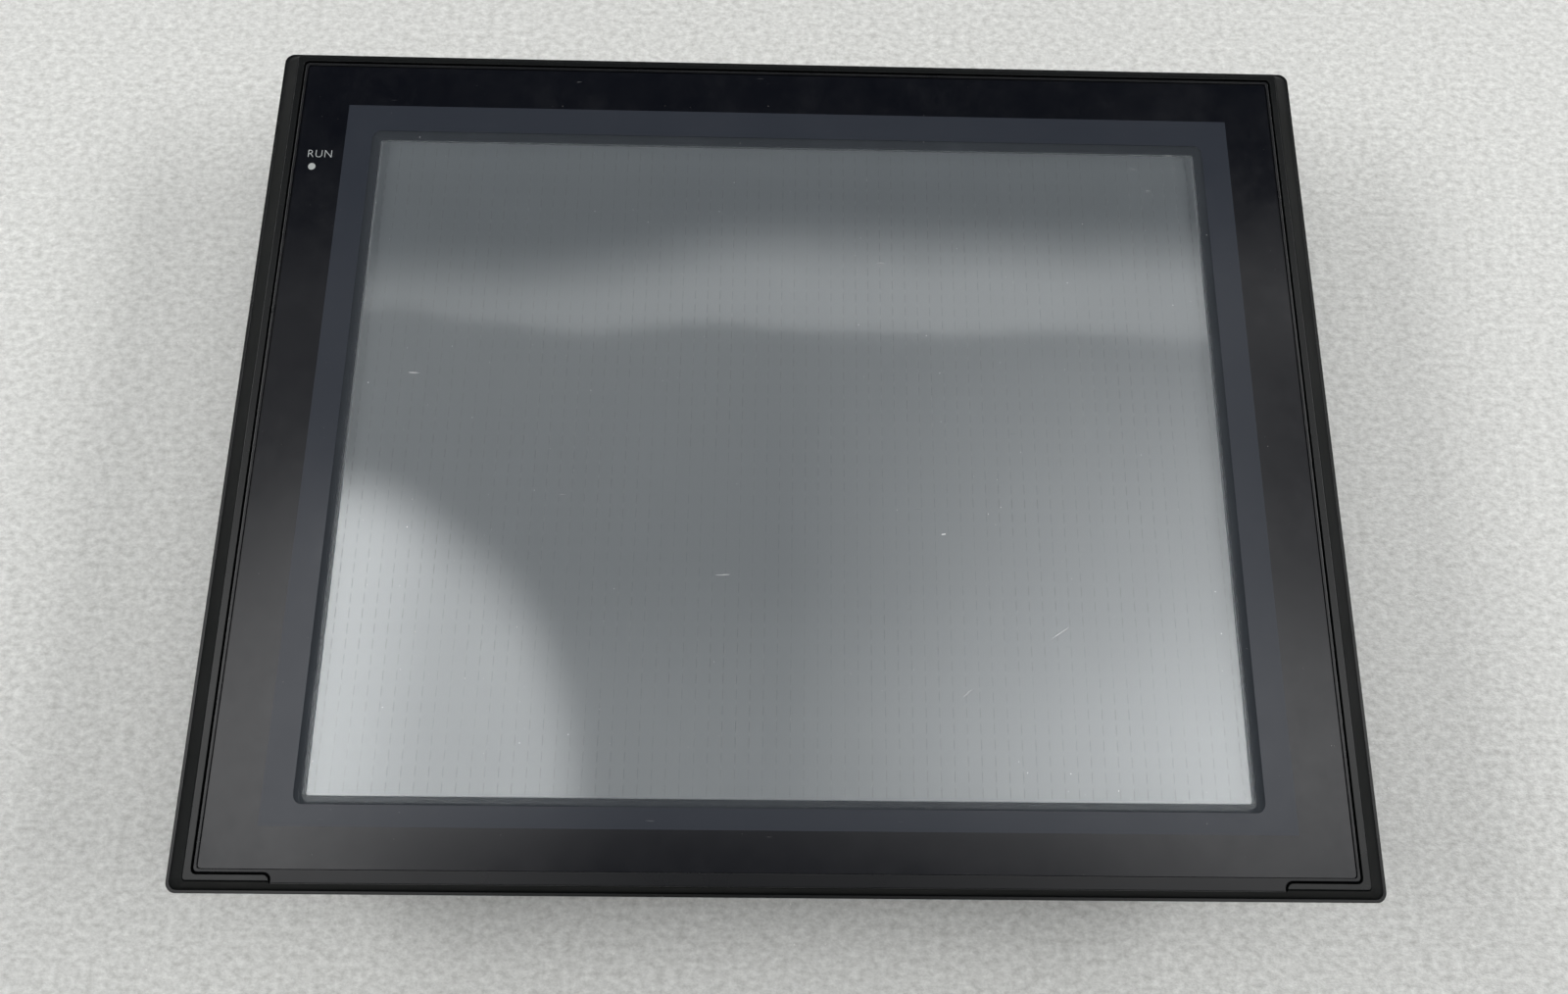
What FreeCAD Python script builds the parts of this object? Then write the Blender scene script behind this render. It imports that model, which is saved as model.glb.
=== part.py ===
"""Panel-mounted operator touch panel, 12.1-inch class, built as separate pieces.

The unit lies on its back: +X runs along the long side, +Y up the screen and +Z out of the
screen. The origin is the middle of the rear face. All sizes are millimetres and come from
the sheet "Dims", which every piece is bound to.
"""
import FreeCAD, Part

import math
import os
import re

import Sketcher

Vector = FreeCAD.Vector

# ---------------------------------------------------------------- driving dimensions
SIZES = {
    # flange and bezel
    "outer_width": 315.0, "outer_height": 241.0, "outer_corner": 2.8,
    "lip_step": 0.8, "lip_corner": 2.2,
    "rim_width": 302.0, "rim_height": 233.6, "rim_corner": 1.0, "rim_round": 0.5,
    "opening_width": 298.2, "opening_height": 230.4, "opening_corner": 1.5,
    "ledge_width": 280.0, "ledge_height": 218.0, "ledge_corner": 3.0,
    # levels above the rear face
    "joint_level": 34.0, "seat_level": 42.0, "lip_level": 43.0, "ledge_level": 45.0,
    "sheet_level": 47.6, "border_level": 48.2, "front_level": 48.5, "over": 1.0,
    # body that passes through the panel cut-out
    "body_width": 300.0, "body_height": 226.0, "body_corner": 6.0,
    "skirt_wall": 3.0, "case_wall": 2.5, "case_round": 1.0,
    # front plate and its lower tab
    "seam": 0.45, "plate_corner": 1.1, "sheet_width": 295.8, "sheet_height": 227.9,
    "sheet_corner": 0.9, "window_shift": -1.5, "border_round": 0.2,
    "tab_width": 258.0, "tab_reach": 117.2, "tab_level": 47.1, "tab_corner": 1.4,
    "fit_gap": 0.1,
    # overlay and touch screen
    "film_thick": 0.2, "touch_width": 274.0, "touch_height": 210.8, "touch_glass_thick": 1.8,
    "touch_film_thick": 0.18, "touch_film_inset": 1.0, "touch_corner": 1.0, "touch_gap": 0.3,
    "foam_width": 258.0, "foam_height": 200.0, "foam_band": 3.5,
    # run light
    "light_x": -142.9, "light_y": 80.2, "light_radius": 1.1, "light_bottom": 40.7,
    "led_length": 3.2, "led_width": 1.6, "led_thick": 1.0, "led_board_level": 38.4,
    "led_board_length": 22.0, "led_board_width": 7.0, "led_board_thick": 1.2,
    "led_post_offset": 8.0, "led_post_radius": 1.6, "led_pin_radius": 0.8, "led_pin_proud": 0.2,
    # liquid crystal module
    "lcd_width": 262.0, "lcd_height": 206.0, "lcd_shift": -3.0, "lcd_skin": 0.6,
    "lcd_top": 44.9, "lcd_bottom": 35.9, "view_width": 248.4, "view_height": 187.4,
    "glass_width": 256.0, "glass_height": 195.0, "lcd_glass_level": 42.6,
    "lcd_glass_thick": 1.5, "optics_thick": 0.6, "guide_width": 250.0, "guide_height": 189.0,
    "tray_level": 36.5, "tray_floor": 0.5, "tray_gap": 0.2, "tray_inner_width": 251.0,
    "tray_inner_height": 197.0, "lamp_radius": 1.2, "lamp_length": 249.0, "lamp_gap": 0.5,
    # chassis plate and boards
    "chassis_width": 276.0, "chassis_height": 204.0, "chassis_thick": 1.2, "chassis_corner": 4.0,
    "chassis_screw_x": 134.9, "chassis_screw_y": 62.0, "chassis_boss_radius": 3.0,
    "chassis_screw_length": 6.0, "chassis_arm": 3.2, "flex_slot": 4.0,
    "board_thick": 1.6, "board_level": 17.2, "board_corner": 1.0,
    "main_left": -66.0, "main_right": 136.0, "board_low": -71.5, "main_top": 60.0,
    "power_left": -132.0, "power_right": -70.0, "power_top": 44.0,
    "inverter_length": 150.0, "inverter_width": 24.0, "inverter_y": 84.0,
    "standoff_radius": 2.6, "standoff_inset": 6.0, "standoff_low_inset": 5.0,
    "board_screw_length": 6.0, "connector_high": 2.6, "connector_deep": 6.0,
    # screws
    "thread_radius": 1.5, "thread_gap": 0.03, "thread_room": 0.5, "clear_radius": 1.75,
    "head_radius": 2.8, "head_thick": 2.0, "drive_radius": 1.3, "drive_depth": 1.1,
    "boss_x": 142.5, "boss_y": 105.0, "boss_mid_y": 10.0, "boss_radius": 4.2,
    "counterbore_radius": 3.1, "screw_shelf": 28.0, "screw_depth": 6.5,
    # panel gasket
    "gasket_width": 310.0, "gasket_height": 236.0, "gasket_band": 3.0,
    "gasket_sunk": 1.0, "gasket_proud": 0.8, "gasket_corner": 6.0, "gasket_gap": 0.05,
    # connector recess in the rear case
    "recess_width": 220.0, "recess_y": -75.0, "recess_level": 16.0,
    # vents
    "vent_width": 2.4, "vent_length": 22.0, "vent_pitch": 6.0, "vent_count": 34.0,
    "vent_y": 88.0, "low_vent_length": 18.0, "low_vent_count": 26.0, "low_vent_y": -54.0,
    "side_vent_count": 22.0, "side_vent_high": 12.0, "side_vent_level": 16.0,
    "low_side_vent_high": 7.0, "low_side_vent_level": 26.5,
    # bracket pockets in the four side walls
    "pocket_length": 14.0, "pocket_high": 5.0, "pocket_deep": 3.2, "pocket_level": 20.5,
    "pocket_x": 95.0, "pocket_y": 66.0, "pocket_low_y": -88.0, "pocket_wall": 2.4,
    # battery cover and cell; the hinge sizes serve the card door and the terminal cover too
    "battery_x": 62.0, "battery_y": -20.0, "cover_length": 34.0, "cover_width": 27.0,
    "cover_sink": 0.4, "cover_thick": 2.0, "cover_gap": 0.35, "barrel_radius": 1.4,
    "peg_radius": 0.9, "peg_length": 1.8, "peg_gap": 0.05, "peg_room": 0.2,
    "cover_frame": 3.0, "cover_ledge": 3.0,
    "cell_radius": 10.0, "cell_thick": 3.2, "cell_gap": 0.15, "holder_width": 24.0,
    "holder_floor": 1.6, "holder_lip": 0.2,
    # expansion cover and rating plate
    "expansion_x": -42.0, "expansion_y": 22.0, "expansion_length": 96.0,
    "expansion_width": 62.0, "expansion_thick": 1.6, "expansion_sink": 1.3,
    "expansion_ledge": 9.0, "expansion_frame": 3.5, "expansion_inset": 5.0,
    "expansion_head_thick": 1.2, "expansion_screw_length": 4.5, "expansion_corner": 2.0,
    "rating_x": 62.0, "rating_y": 34.0, "rating_length": 82.0, "rating_width": 46.0,
    "rating_thick": 0.3, "rating_sink": 0.1,
    # connectors, left to right along the recess
    "wall_gap": 0.25, "foot_deep": 8.0,
    "terminal_x": -86.0, "terminal_length": 24.0, "terminal_front": -87.0,
    "terminal_back": -60.0, "terminal_low": 4.2, "terminal_top": 15.5,
    "terminal_pitch": 7.0, "terminal_screw_radius": 2.0, "terminal_screw_level": 11.4,
    "terminal_screw_thick": 2.0, "terminal_hole_deep": 3.0, "wire_level": 6.9,
    "wire_radius": 1.5, "wire_deep": 8.0,
    "lug_thick": 2.2, "lug_half": 1.6, "flap_thick": 1.2, "flap_high": 9.4,
    "flap_level": 14.1, "flap_y": -89.2, "flap_barrel": 1.3, "flap_gap": 0.2,
    "serial_a_x": -44.0, "serial_b_x": -8.0, "serial_level": 9.4,
    "serial_flange_length": 30.8, "serial_flange_high": 12.4, "serial_flange_thick": 1.2,
    "shell_length": 17.0, "shell_high": 8.4, "shell_reach": 5.8, "shell_skin": 0.5,
    "shell_slant": 1.5, "shell_corner": 2.0, "serial_body_length": 19.6,
    "serial_body_high": 10.4, "serial_body_back": -60.0, "insulator_sink": 0.6,
    "jack_spacing": 24.99, "jack_across": 4.76, "jack_reach": 5.2, "jack_thread": 1.42,
    "jack_bore": 1.14, "jack_bore_deep": 4.5, "jack_tail": 5.0, "jack_gap": 0.08,
    "pin_radius": 0.5, "pin_pitch": 2.77, "pin_row": 1.42, "pin_reach": 4.6,
    "ethernet_x": 28.0, "ethernet_length": 16.0, "ethernet_low": 3.8, "ethernet_top": 15.6,
    "ethernet_back": -56.0, "ethernet_front": -76.2, "jack_width": 11.8, "jack_high": 7.2,
    "jack_deep": 12.0, "jack_low": 1.6, "latch_width": 5.8, "latch_high": 2.0,
    "usb_x": 50.0, "usb_length": 14.4, "usb_low": 6.6, "usb_top": 13.6, "usb_front": -76.4,
    "usb_back": -62.0, "usb_skin": 0.5, "tongue_thick": 1.8, "tongue_length": 11.2,
    "tongue_sink": 1.5, "tongue_rise": 3.6,
    "dip_x": 72.0, "dip_length": 12.6, "dip_low": 7.8, "dip_top": 14.6, "dip_front": -75.6,
    "dip_back": -67.0, "dip_pitch": 2.54, "dip_slot_width": 1.3, "dip_slot_high": 3.6,
    "dip_slot_deep": 2.0, "dip_knob_width": 1.1, "dip_knob_high": 1.5, "dip_knob_deep": 2.5,
    "dip_knob_gap": 0.1, "dip_count": 4.0,
    "reset_x": 92.0, "reset_level": 10.6, "reset_radius": 1.9, "reset_front": -77.4,
    "reset_travel_room": 0.9, "switch_size": 7.0, "switch_front": -71.8,
    "switch_back": -66.0, "stem_radius": 1.2, "stem_gap": 0.05, "stem_length": 3.0,
    "stem_bore": 3.4,
    # memory card slot in the right side wall
    "card_y": -39.5, "card_width": 43.0, "card_slot_high": 4.4, "card_level": 11.2,
    "card_floor": 1.2, "card_socket_left": 97.0, "card_block_left": 141.0,
    "card_socket_y": -36.2, "card_socket_width": 54.0, "card_wall": 2.0,
    "eject_y": -14.4, "eject_size": 3.4, "eject_gap": 0.1, "eject_left": 121.2,
    "eject_right": 147.5, "eject_room": 6.0,
    "door_length": 56.0, "door_high": 11.4, "door_level": 20.2, "door_sink": 0.2,
    "door_back_gap": 0.3, "door_frame": 3.0,
    # parts on the boards
    "chip_thick": 2.4, "processor_x": 30.0, "processor_y": 30.0, "processor_size": 27.0,
    "sink_size": 34.0, "sink_base": 2.0, "sink_high": 8.0, "fin_count": 9.0, "fin_thick": 1.2,
    "memory_length": 18.4, "memory_width": 8.0, "memory_thick": 1.2, "memory_x": -4.0,
    "memory_y": 18.0, "memory_pitch": 11.0, "memory_count": 4.0, "buzzer_x": 104.0,
    "buzzer_y": 34.0, "buzzer_radius": 6.0, "buzzer_high": 6.5, "buzzer_hole": 1.0,
    "transformer_x": -101.0, "transformer_y": 8.0, "transformer_length": 26.0,
    "transformer_width": 22.0, "transformer_high": 10.4, "core_margin": 3.0,
    "capacitor_radius": 5.0, "capacitor_high": 12.0, "capacitor_pitch": 12.5,
    "capacitor_y": -34.0, "capacitor_count": 3.0, "inverter_coil_length": 30.0,
    "inverter_coil_width": 14.0, "inverter_coil_high": 8.0, "inverter_coil_x": 48.0,
    # flat cables
    "flex_thick": 0.2, "flex_bend": 1.5, "touch_flex_x": 40.0, "touch_flex_width": 12.0,
    "touch_flex_start": -104.0, "touch_flex_y": -106.6, "board_flex_level": 21.0,
    "touch_flex_end": -62.0, "lcd_flex_x": 20.0, "lcd_flex_width": 34.0,
    "lcd_flex_y": -20.0, "lcd_flex_end": -36.0,
}

DOC = FreeCAD.newDocument("operator_panel")
SHEET = DOC.addObject("Spreadsheet::Sheet", "Dims")
SUBPARTS = []


def fill_sheet():
    """Put every driving dimension in the sheet, with its name as the alias."""
    for row, (alias, size) in enumerate(SIZES.items(), start=1):
        SHEET.set(f"A{row}", alias)
        SHEET.set(f"B{row}", str(size))
        SHEET.setAlias(f"B{row}", alias)
    DOC.recompute()


# ---------------------------------------------------------------- expressions
def full(expression):
    """Write an expression on the aliases the way another object reads the sheet."""
    return re.sub(r"[a-z][a-z_]*", lambda word: "Dims." + word.group(), str(expression))


def size(expression):
    """Value of an expression on the aliases."""
    return float(SHEET.evalExpression(str(expression)))


def bind(item, field, expression):
    """Drive a property from the sheet."""
    item.setExpression(field, full(expression))


def subpart(item, label):
    """Name a finished piece and keep it for the export."""
    item.Label = label
    SUBPARTS.append(item)
    return item


# ---------------------------------------------------------------- sketches
def new_sketch(body, name, plane, level):
    """Empty sketch on an origin plane of its body, moved along the normal to a level."""
    sketch = body.newObject("Sketcher::SketchObject", name)
    origin_plane = next(item for item in body.Origin.OriginFeatures if item.Role == plane)
    sketch.AttachmentSupport = [(origin_plane, "")]
    sketch.MapMode = "FlatFace"
    bind(sketch, "AttachmentOffset.Base.z", level)
    return sketch


def limit(sketch, kind, places, expression):
    """Dimension in a sketch that follows the sheet."""
    index = sketch.addConstraint(Sketcher.Constraint(kind, *places, size(expression)))
    sketch.setExpression(f"Constraints[{index}]", full(expression))


def draw_rectangle(sketch, x, y, width, height, corner):
    """Rectangle about (x, y); its corners are round unless the corner is 0."""
    half_width = size(width) / 2
    half_height = size(height) / 2
    radius = size(corner)
    middle = Vector(size(x), size(y), 0)
    centre = sketch.addGeometry(Part.Point(middle), True)
    limit(sketch, "DistanceX", (-1, 1, centre, 1), x)
    limit(sketch, "DistanceY", (-1, 1, centre, 1), y)
    ways = [Vector(1, -1, 0), Vector(1, 1, 0), Vector(-1, 1, 0), Vector(-1, -1, 0)]
    corners = [middle + Vector(way.x * half_width, way.y * half_height, 0) for way in ways]
    hubs = [spot - way * radius for spot, way in zip(corners, ways)]
    quarter = math.pi / 2
    arcs = []
    sides = []
    for turn in range(4):
        outward = Vector(math.sin(turn * quarter), -math.cos(turn * quarter), 0) * radius
        side = Part.LineSegment(hubs[turn - 1] + outward, hubs[turn] + outward)
        sides.append(sketch.addGeometry(side, False))
        if radius > 0:
            circle = Part.Circle(hubs[turn], Vector(0, 0, 1), radius)
            start = (turn - 1) * quarter
            arcs.append(sketch.addGeometry(Part.ArcOfCircle(circle, start, start + quarter), False))
    for turn in range(4):
        following = sides[(turn + 1) % 4]
        if radius > 0:
            sketch.addConstraint(Sketcher.Constraint("Tangent", sides[turn], 2, arcs[turn], 1))
            sketch.addConstraint(Sketcher.Constraint("Tangent", arcs[turn], 2, following, 1))
        else:
            sketch.addConstraint(Sketcher.Constraint("Coincident", sides[turn], 2, following, 1))
    for flat, upright in ((sides[0], sides[1]), (sides[2], sides[3])):
        sketch.addConstraint(Sketcher.Constraint("Horizontal", flat))
        sketch.addConstraint(Sketcher.Constraint("Vertical", upright))
    if radius > 0:
        for arc in arcs[1:]:
            sketch.addConstraint(Sketcher.Constraint("Equal", arcs[0], arc))
        limit(sketch, "Radius", (arcs[0],), corner)
        ends = (arcs[0], 3, arcs[2], 3)
        across = (arcs[3], 3, arcs[0], 3)
        along = (arcs[0], 3, arcs[1], 3)
        trim = f" - 2 * ({corner})"
    else:
        ends = (sides[0], 2, sides[2], 2)
        across = (sides[0], 1, sides[0], 2)
        along = (sides[1], 1, sides[1], 2)
        trim = ""
    sketch.addConstraint(Sketcher.Constraint("Symmetric", *ends, centre, 1))
    limit(sketch, "DistanceX", across, f"({width}){trim}")
    limit(sketch, "DistanceY", along, f"({height}){trim}")


def draw_circles(sketch, spots, radius):
    """Equal circles about the given (x, y) spots."""
    for x, y in spots:
        circle = Part.Circle(Vector(size(x), size(y), 0), Vector(0, 0, 1), size(radius))
        index = sketch.addGeometry(circle, False)
        limit(sketch, "DistanceX", (-1, 1, index, 3), x)
        limit(sketch, "DistanceY", (-1, 1, index, 3), y)
        limit(sketch, "Radius", (index,), radius)


# ---------------------------------------------------------------- features
def new_body(name):
    return DOC.addObject("PartDesign::Body", name)


def grow(body, sketch, length):
    """Pad along the sketch's normal."""
    pad = body.newObject("PartDesign::Pad", sketch.Name + "_pad")
    pad.Profile = sketch
    bind(pad, "Length", length)
    return pad


def sink(body, sketch, length):
    """Pocket along the sketch's normal."""
    pocket = body.newObject("PartDesign::Pocket", sketch.Name + "_pocket")
    pocket.Profile = sketch
    pocket.Reversed = True
    bind(pocket, "Length", length)
    return pocket


def slab(body, name, low, high, x, y, width, height, corner="0", plane="XY_Plane"):
    """Rounded rectangular plate between two levels."""
    sketch = new_sketch(body, name, plane, low)
    draw_rectangle(sketch, x, y, width, height, corner)
    return grow(body, sketch, f"({high}) - ({low})")


def hollow(body, name, low, high, x, y, width, height, corner="0", plane="XY_Plane"):
    """Rounded rectangular opening between two levels."""
    sketch = new_sketch(body, name, plane, low)
    draw_rectangle(sketch, x, y, width, height, corner)
    return sink(body, sketch, f"({high}) - ({low})")


def ring_sketch(body, name, low, y, width, height, corner, band):
    """Two outlines, one inside the other by the band."""
    sketch = new_sketch(body, name, "XY_Plane", low)
    draw_rectangle(sketch, "0", y, width, height, corner)
    inside = [f"({side}) - 2 * ({band})" for side in (width, height)]
    draw_rectangle(sketch, "0", y, *inside, f"({corner}) - ({band})")
    return sketch


def posts(body, name, low, high, spots, radius):
    """Round posts between two levels."""
    sketch = new_sketch(body, name, "XY_Plane", low)
    draw_circles(sketch, spots, radius)
    return grow(body, sketch, f"({high}) - ({low})")


def holes(body, name, low, high, spots, radius, plane="XY_Plane"):
    """Round holes between two levels."""
    sketch = new_sketch(body, name, plane, low)
    draw_circles(sketch, spots, radius)
    return sink(body, sketch, f"({high}) - ({low})")


def soften(body, radius, chosen):
    """Fillet the edges of the body that the test picks."""
    DOC.recompute()
    base = body.Tip
    names = [f"Edge{index}" for index, edge in enumerate(base.Shape.Edges, start=1)
             if chosen(edge.BoundBox)]
    fillet = body.newObject("PartDesign::Fillet", base.Name + "_round")
    fillet.Base = (base, names)
    bind(fillet, "Radius", radius)
    return fillet


def near(first, second, room=0.0001):
    return abs(first - second) < room


def flat_at(box, level):
    """True for an edge that lies wholly at one height."""
    return near(box.ZMin, level) and near(box.ZMax, level)


def upright_at(box, x, y):
    """True for an edge that stands at one spot."""
    return near(box.XLength, 0) and near(box.YLength, 0) and near(box.XMin, x) and near(box.YMin, y)


# ---------------------------------------------------------------- solids from primitives
ALONG_X = Vector(1, 0, 0)
ALONG_Y = Vector(0, 1, 0)
DOWN_Y = Vector(0, -1, 0)
ALONG_Z = Vector(0, 0, 1)


def place(item, x, y, z):
    """Bind a primitive's position."""
    for axis, expression in (("x", x), ("y", y), ("z", z)):
        bind(item, f"Placement.Base.{axis}", expression)


def block(name, x, y, z):
    """Box between two limits on each axis."""
    item = DOC.addObject("Part::Box", name)
    for field, (low, high) in zip(("Length", "Width", "Height"), (x, y, z)):
        bind(item, field, f"({high}) - ({low})")
    place(item, x[0], y[0], z[0])
    return item


def about(middle, length):
    """Limits of a length about its middle."""
    return (f"({middle}) - ({length}) / 2", f"({middle}) + ({length}) / 2")


def rod(name, x, y, z, radius, length, way=ALONG_Z):
    """Cylinder from the middle of its first end."""
    item = DOC.addObject("Part::Cylinder", name)
    bind(item, "Radius", radius)
    bind(item, "Height", length)
    item.Placement = FreeCAD.Placement(Vector(), FreeCAD.Rotation(ALONG_Z, way))
    place(item, x, y, z)
    return item


def join(name, *pieces):
    item = DOC.addObject("Part::MultiFuse", name)
    item.Shapes = list(pieces)
    item.Refine = True
    return item


def cut(name, base, *tools):
    """Take tools from a base."""
    item = DOC.addObject("Part::Cut", name)
    item.Base = base
    item.Tool = tools[0] if len(tools) == 1 else join(name + "_tools", *tools)
    return item


def group(label, pieces):
    """Identical separate solids that share one node."""
    item = DOC.addObject("Part::Compound", label)
    item.Links = pieces
    return subpart(item, label)


def rear_screw(name, x, y, seat, length, head_thick="head_thick"):
    """Pan head screw with a cross recess; its head is to the rear of the seat."""
    back = f"({seat}) - {head_thick}"
    shank = rod(name + "_shank", x, y, seat, "thread_radius", length)
    head = rod(name + "_head", x, y, back, "head_radius", head_thick)
    whole = join(name + "_whole", shank, head)
    deep = (f"{back} - over", f"{back} + drive_depth")
    long_arm = block(name + "_long", about(x, "2 * drive_radius"), about(y, "drive_radius / 2"), deep)
    cross_arm = block(name + "_cross", about(x, "drive_radius / 2"), about(y, "2 * drive_radius"), deep)
    return cut(name, whole, long_arm, cross_arm)


def screw_group(label, spots, seat, length, head_thick="head_thick"):
    """Screws at several spots, all with their heads to the rear."""
    return group(label, [rear_screw(f"{label}_{index}", x, y, seat, length, head_thick)
                         for index, (x, y) in enumerate(spots, start=1)])


def four_spots(x, y):
    return [(f"{first}({x})", f"{second}({y})") for first in ("", "-") for second in ("", "-")]


CASE_SPOTS = four_spots("boss_x", "boss_y") + [("boss_x", "boss_mid_y"), ("-boss_x", "boss_mid_y")]
CHASSIS_SPOTS = four_spots("chassis_screw_x", "chassis_screw_y")
LED_SPOTS = [("light_x", "light_y - led_post_offset"), ("light_x", "light_y + led_post_offset")]
BOARD_ROW = "board_low + standoff_low_inset"
MAIN_SPOTS = [(x, y) for x in ("main_left + standoff_inset", "main_right - standoff_inset")
              for y in (BOARD_ROW, "main_top - standoff_inset")]
POWER_SPOTS = [("power_left + standoff_inset", BOARD_ROW),
               ("power_right - standoff_inset", "power_top - standoff_inset")]
INVERTER_SPOTS = [(f"{way}(inverter_length / 2 - standoff_inset)", "inverter_y") for way in ("", "-")]
BOARD_SPOTS = MAIN_SPOTS + POWER_SPOTS + INVERTER_SPOTS


# ---------------------------------------------------------------- front
def front_bezel():
    """Flange with a bevelled face, a ledge for the front plate and a skirt behind the flange."""
    body = new_body("front_bezel")
    slab(body, "flange", "seat_level", "lip_level", "0", "0", "outer_width", "outer_height",
         "outer_corner")
    foot = new_sketch(body, "bevel_foot", "XY_Plane", "lip_level")
    draw_rectangle(foot, "0", "0", "outer_width - 2 * lip_step", "outer_height - 2 * lip_step",
                   "lip_corner")
    crest = new_sketch(body, "bevel_crest", "XY_Plane", "front_level")
    draw_rectangle(crest, "0", "0", "rim_width", "rim_height", "rim_corner")
    bevel = body.newObject("PartDesign::AdditiveLoft", "bevel")
    bevel.Profile = foot
    bevel.Sections = [crest]
    bevel.Ruled = True
    soften(body, "rim_round", lambda box: flat_at(box, size("front_level")))
    slab(body, "skirt", "joint_level", "seat_level", "0", "0", "body_width", "body_height",
         "body_corner")
    hollow(body, "plate_seat", "ledge_level", "front_level + over", "0", "0", "opening_width",
           "opening_height", "opening_corner")
    hollow(body, "ledge", "seat_level - over", "front_level + over", "0", "0", "ledge_width",
           "ledge_height", "ledge_corner")
    hollow(body, "skirt_inside", "joint_level - over", "seat_level", "0", "0",
           "body_width - 2 * skirt_wall", "body_height - 2 * skirt_wall", "body_corner - skirt_wall")
    hollow(body, "tab_notch", "tab_level", "front_level + over", "0", "-tab_reach",
           "tab_width + 2 * seam", "2 * tab_reach - opening_height")
    edge_x = size("tab_width") / 2 + size("seam")
    edge_y = -size("opening_height") / 2
    soften(body, "tab_corner",
           lambda box: upright_at(box, edge_x, edge_y) or upright_at(box, -edge_x, edge_y))
    groove = ring_sketch(body, "gasket_groove", "seat_level", "0", "gasket_width", "gasket_height",
                         "gasket_corner", "gasket_band")
    sink(body, groove, "gasket_sunk")
    posts(body, "case_bosses", "joint_level", "seat_level", CASE_SPOTS, "boss_radius")
    posts(body, "chassis_bosses", "lcd_bottom", "seat_level", CHASSIS_SPOTS, "chassis_boss_radius")
    arm = "body_width / 2 - skirt_wall / 2 - chassis_screw_x"
    for name, side, row in (("upper_right", "", ""), ("lower_right", "", "-"), ("upper_left", "-", ""),
                            ("lower_left", "-", "-")):
        slab(body, f"arm_{name}", "lcd_bottom", "seat_level", f"{side}(chassis_screw_x + ({arm}) / 2)",
             f"{row}chassis_screw_y", arm, "chassis_arm")
    holes(body, "case_threads", "joint_level", "joint_level + screw_depth + thread_room", CASE_SPOTS,
          "thread_radius + thread_gap")
    holes(body, "chassis_threads", "lcd_bottom", "lcd_bottom + chassis_screw_length - chassis_thick "
          "+ thread_room", CHASSIS_SPOTS, "thread_radius + thread_gap")
    board_top = "led_board_level + led_board_thick"
    posts(body, "led_posts", board_top, "seat_level", LED_SPOTS, "led_post_radius")
    posts(body, "led_pins", "led_board_level - led_pin_proud", board_top, LED_SPOTS, "led_pin_radius")
    holes(body, "light_hole", "seat_level - over", "ledge_level + over", [("light_x", "light_y")],
          "light_radius + fit_gap")
    return subpart(body, "front_bezel")


def front_plate():
    """Inner plate with a raised border, an opening for the touch screen and a tab at its foot."""
    body = new_body("front_plate")
    slab(body, "plate", "ledge_level", "border_level", "0", "0", "opening_width - 2 * seam",
         "opening_height - 2 * seam", "plate_corner")
    tab_top = "-(sheet_height + 2 * seam) / 2"
    slab(body, "tab", "tab_level + fit_gap", "border_level", "0", f"({tab_top} - tab_reach) / 2",
         "tab_width", f"tab_reach + {tab_top}")
    edge_x = size("tab_width") / 2
    edge_y = -size("opening_height") / 2 + size("seam")
    soften(body, "tab_corner + seam",
           lambda box: upright_at(box, edge_x, edge_y) or upright_at(box, -edge_x, edge_y))
    soften(body, "border_round", lambda box: flat_at(box, size("border_level")))
    hollow(body, "sheet_recess", "sheet_level", "border_level + over", "0", "0", "sheet_width",
           "sheet_height", "sheet_corner")
    hollow(body, "screen_opening", "ledge_level - over", "border_level + over", "0", "window_shift",
           "touch_width + 2 * touch_gap", "touch_height + 2 * touch_gap", "touch_corner + touch_gap")
    holes(body, "plate_light_hole", "ledge_level - over", "border_level", [("light_x", "light_y")],
          "light_radius + fit_gap")
    return subpart(body, "front_plate")


def flat_layer(label, low, high, y, width, height, corner):
    """Plain layer of the front stack."""
    body = new_body(label)
    slab(body, label + "_outline", low, high, "0", y, width, height, corner)
    return subpart(body, label)


def screen_stack():
    """Overlay, touch film and touch glass, from the front to the rear."""
    flat_layer("overlay_film", "sheet_level", "sheet_level + film_thick", "0",
               "sheet_width - 2 * fit_gap", "sheet_height - 2 * fit_gap", "sheet_corner")
    glass_top = "sheet_level - touch_film_thick"
    flat_layer("touch_film", glass_top, "sheet_level", "window_shift",
               "touch_width - 2 * touch_film_inset", "touch_height - 2 * touch_film_inset",
               "touch_corner")
    flat_layer("touch_glass", f"{glass_top} - touch_glass_thick", glass_top, "window_shift",
               "touch_width", "touch_height", "touch_corner")
    body = new_body("touch_gasket")
    ring = ring_sketch(body, "foam_ring", "lcd_top", "lcd_shift", "foam_width", "foam_height",
                       "foam_band + touch_corner", "foam_band")
    grow(body, ring, f"{glass_top} - touch_glass_thick - lcd_top")
    subpart(body, "touch_gasket")


def run_light():
    """Light pipe behind the overlay, with its LED on a small board."""
    spot = ("light_x", "light_y")
    pipe = rod("run_light_pipe", *spot, "light_bottom", "light_radius", "sheet_level - light_bottom")
    subpart(pipe, "run_light_pipe")
    board_top = "led_board_level + led_board_thick"
    led = block("run_led", about("light_x", "led_width"), about("light_y", "led_length"),
                (board_top, f"{board_top} + led_thick"))
    subpart(led, "run_led")
    body = new_body("led_board")
    slab(body, "led_board_outline", "led_board_level", board_top, *spot, "led_board_width",
         "led_board_length", "board_corner")
    holes(body, "led_board_holes", "led_board_level - over", board_top, LED_SPOTS,
          "led_pin_radius + peg_gap")
    subpart(body, "led_board")


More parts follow.
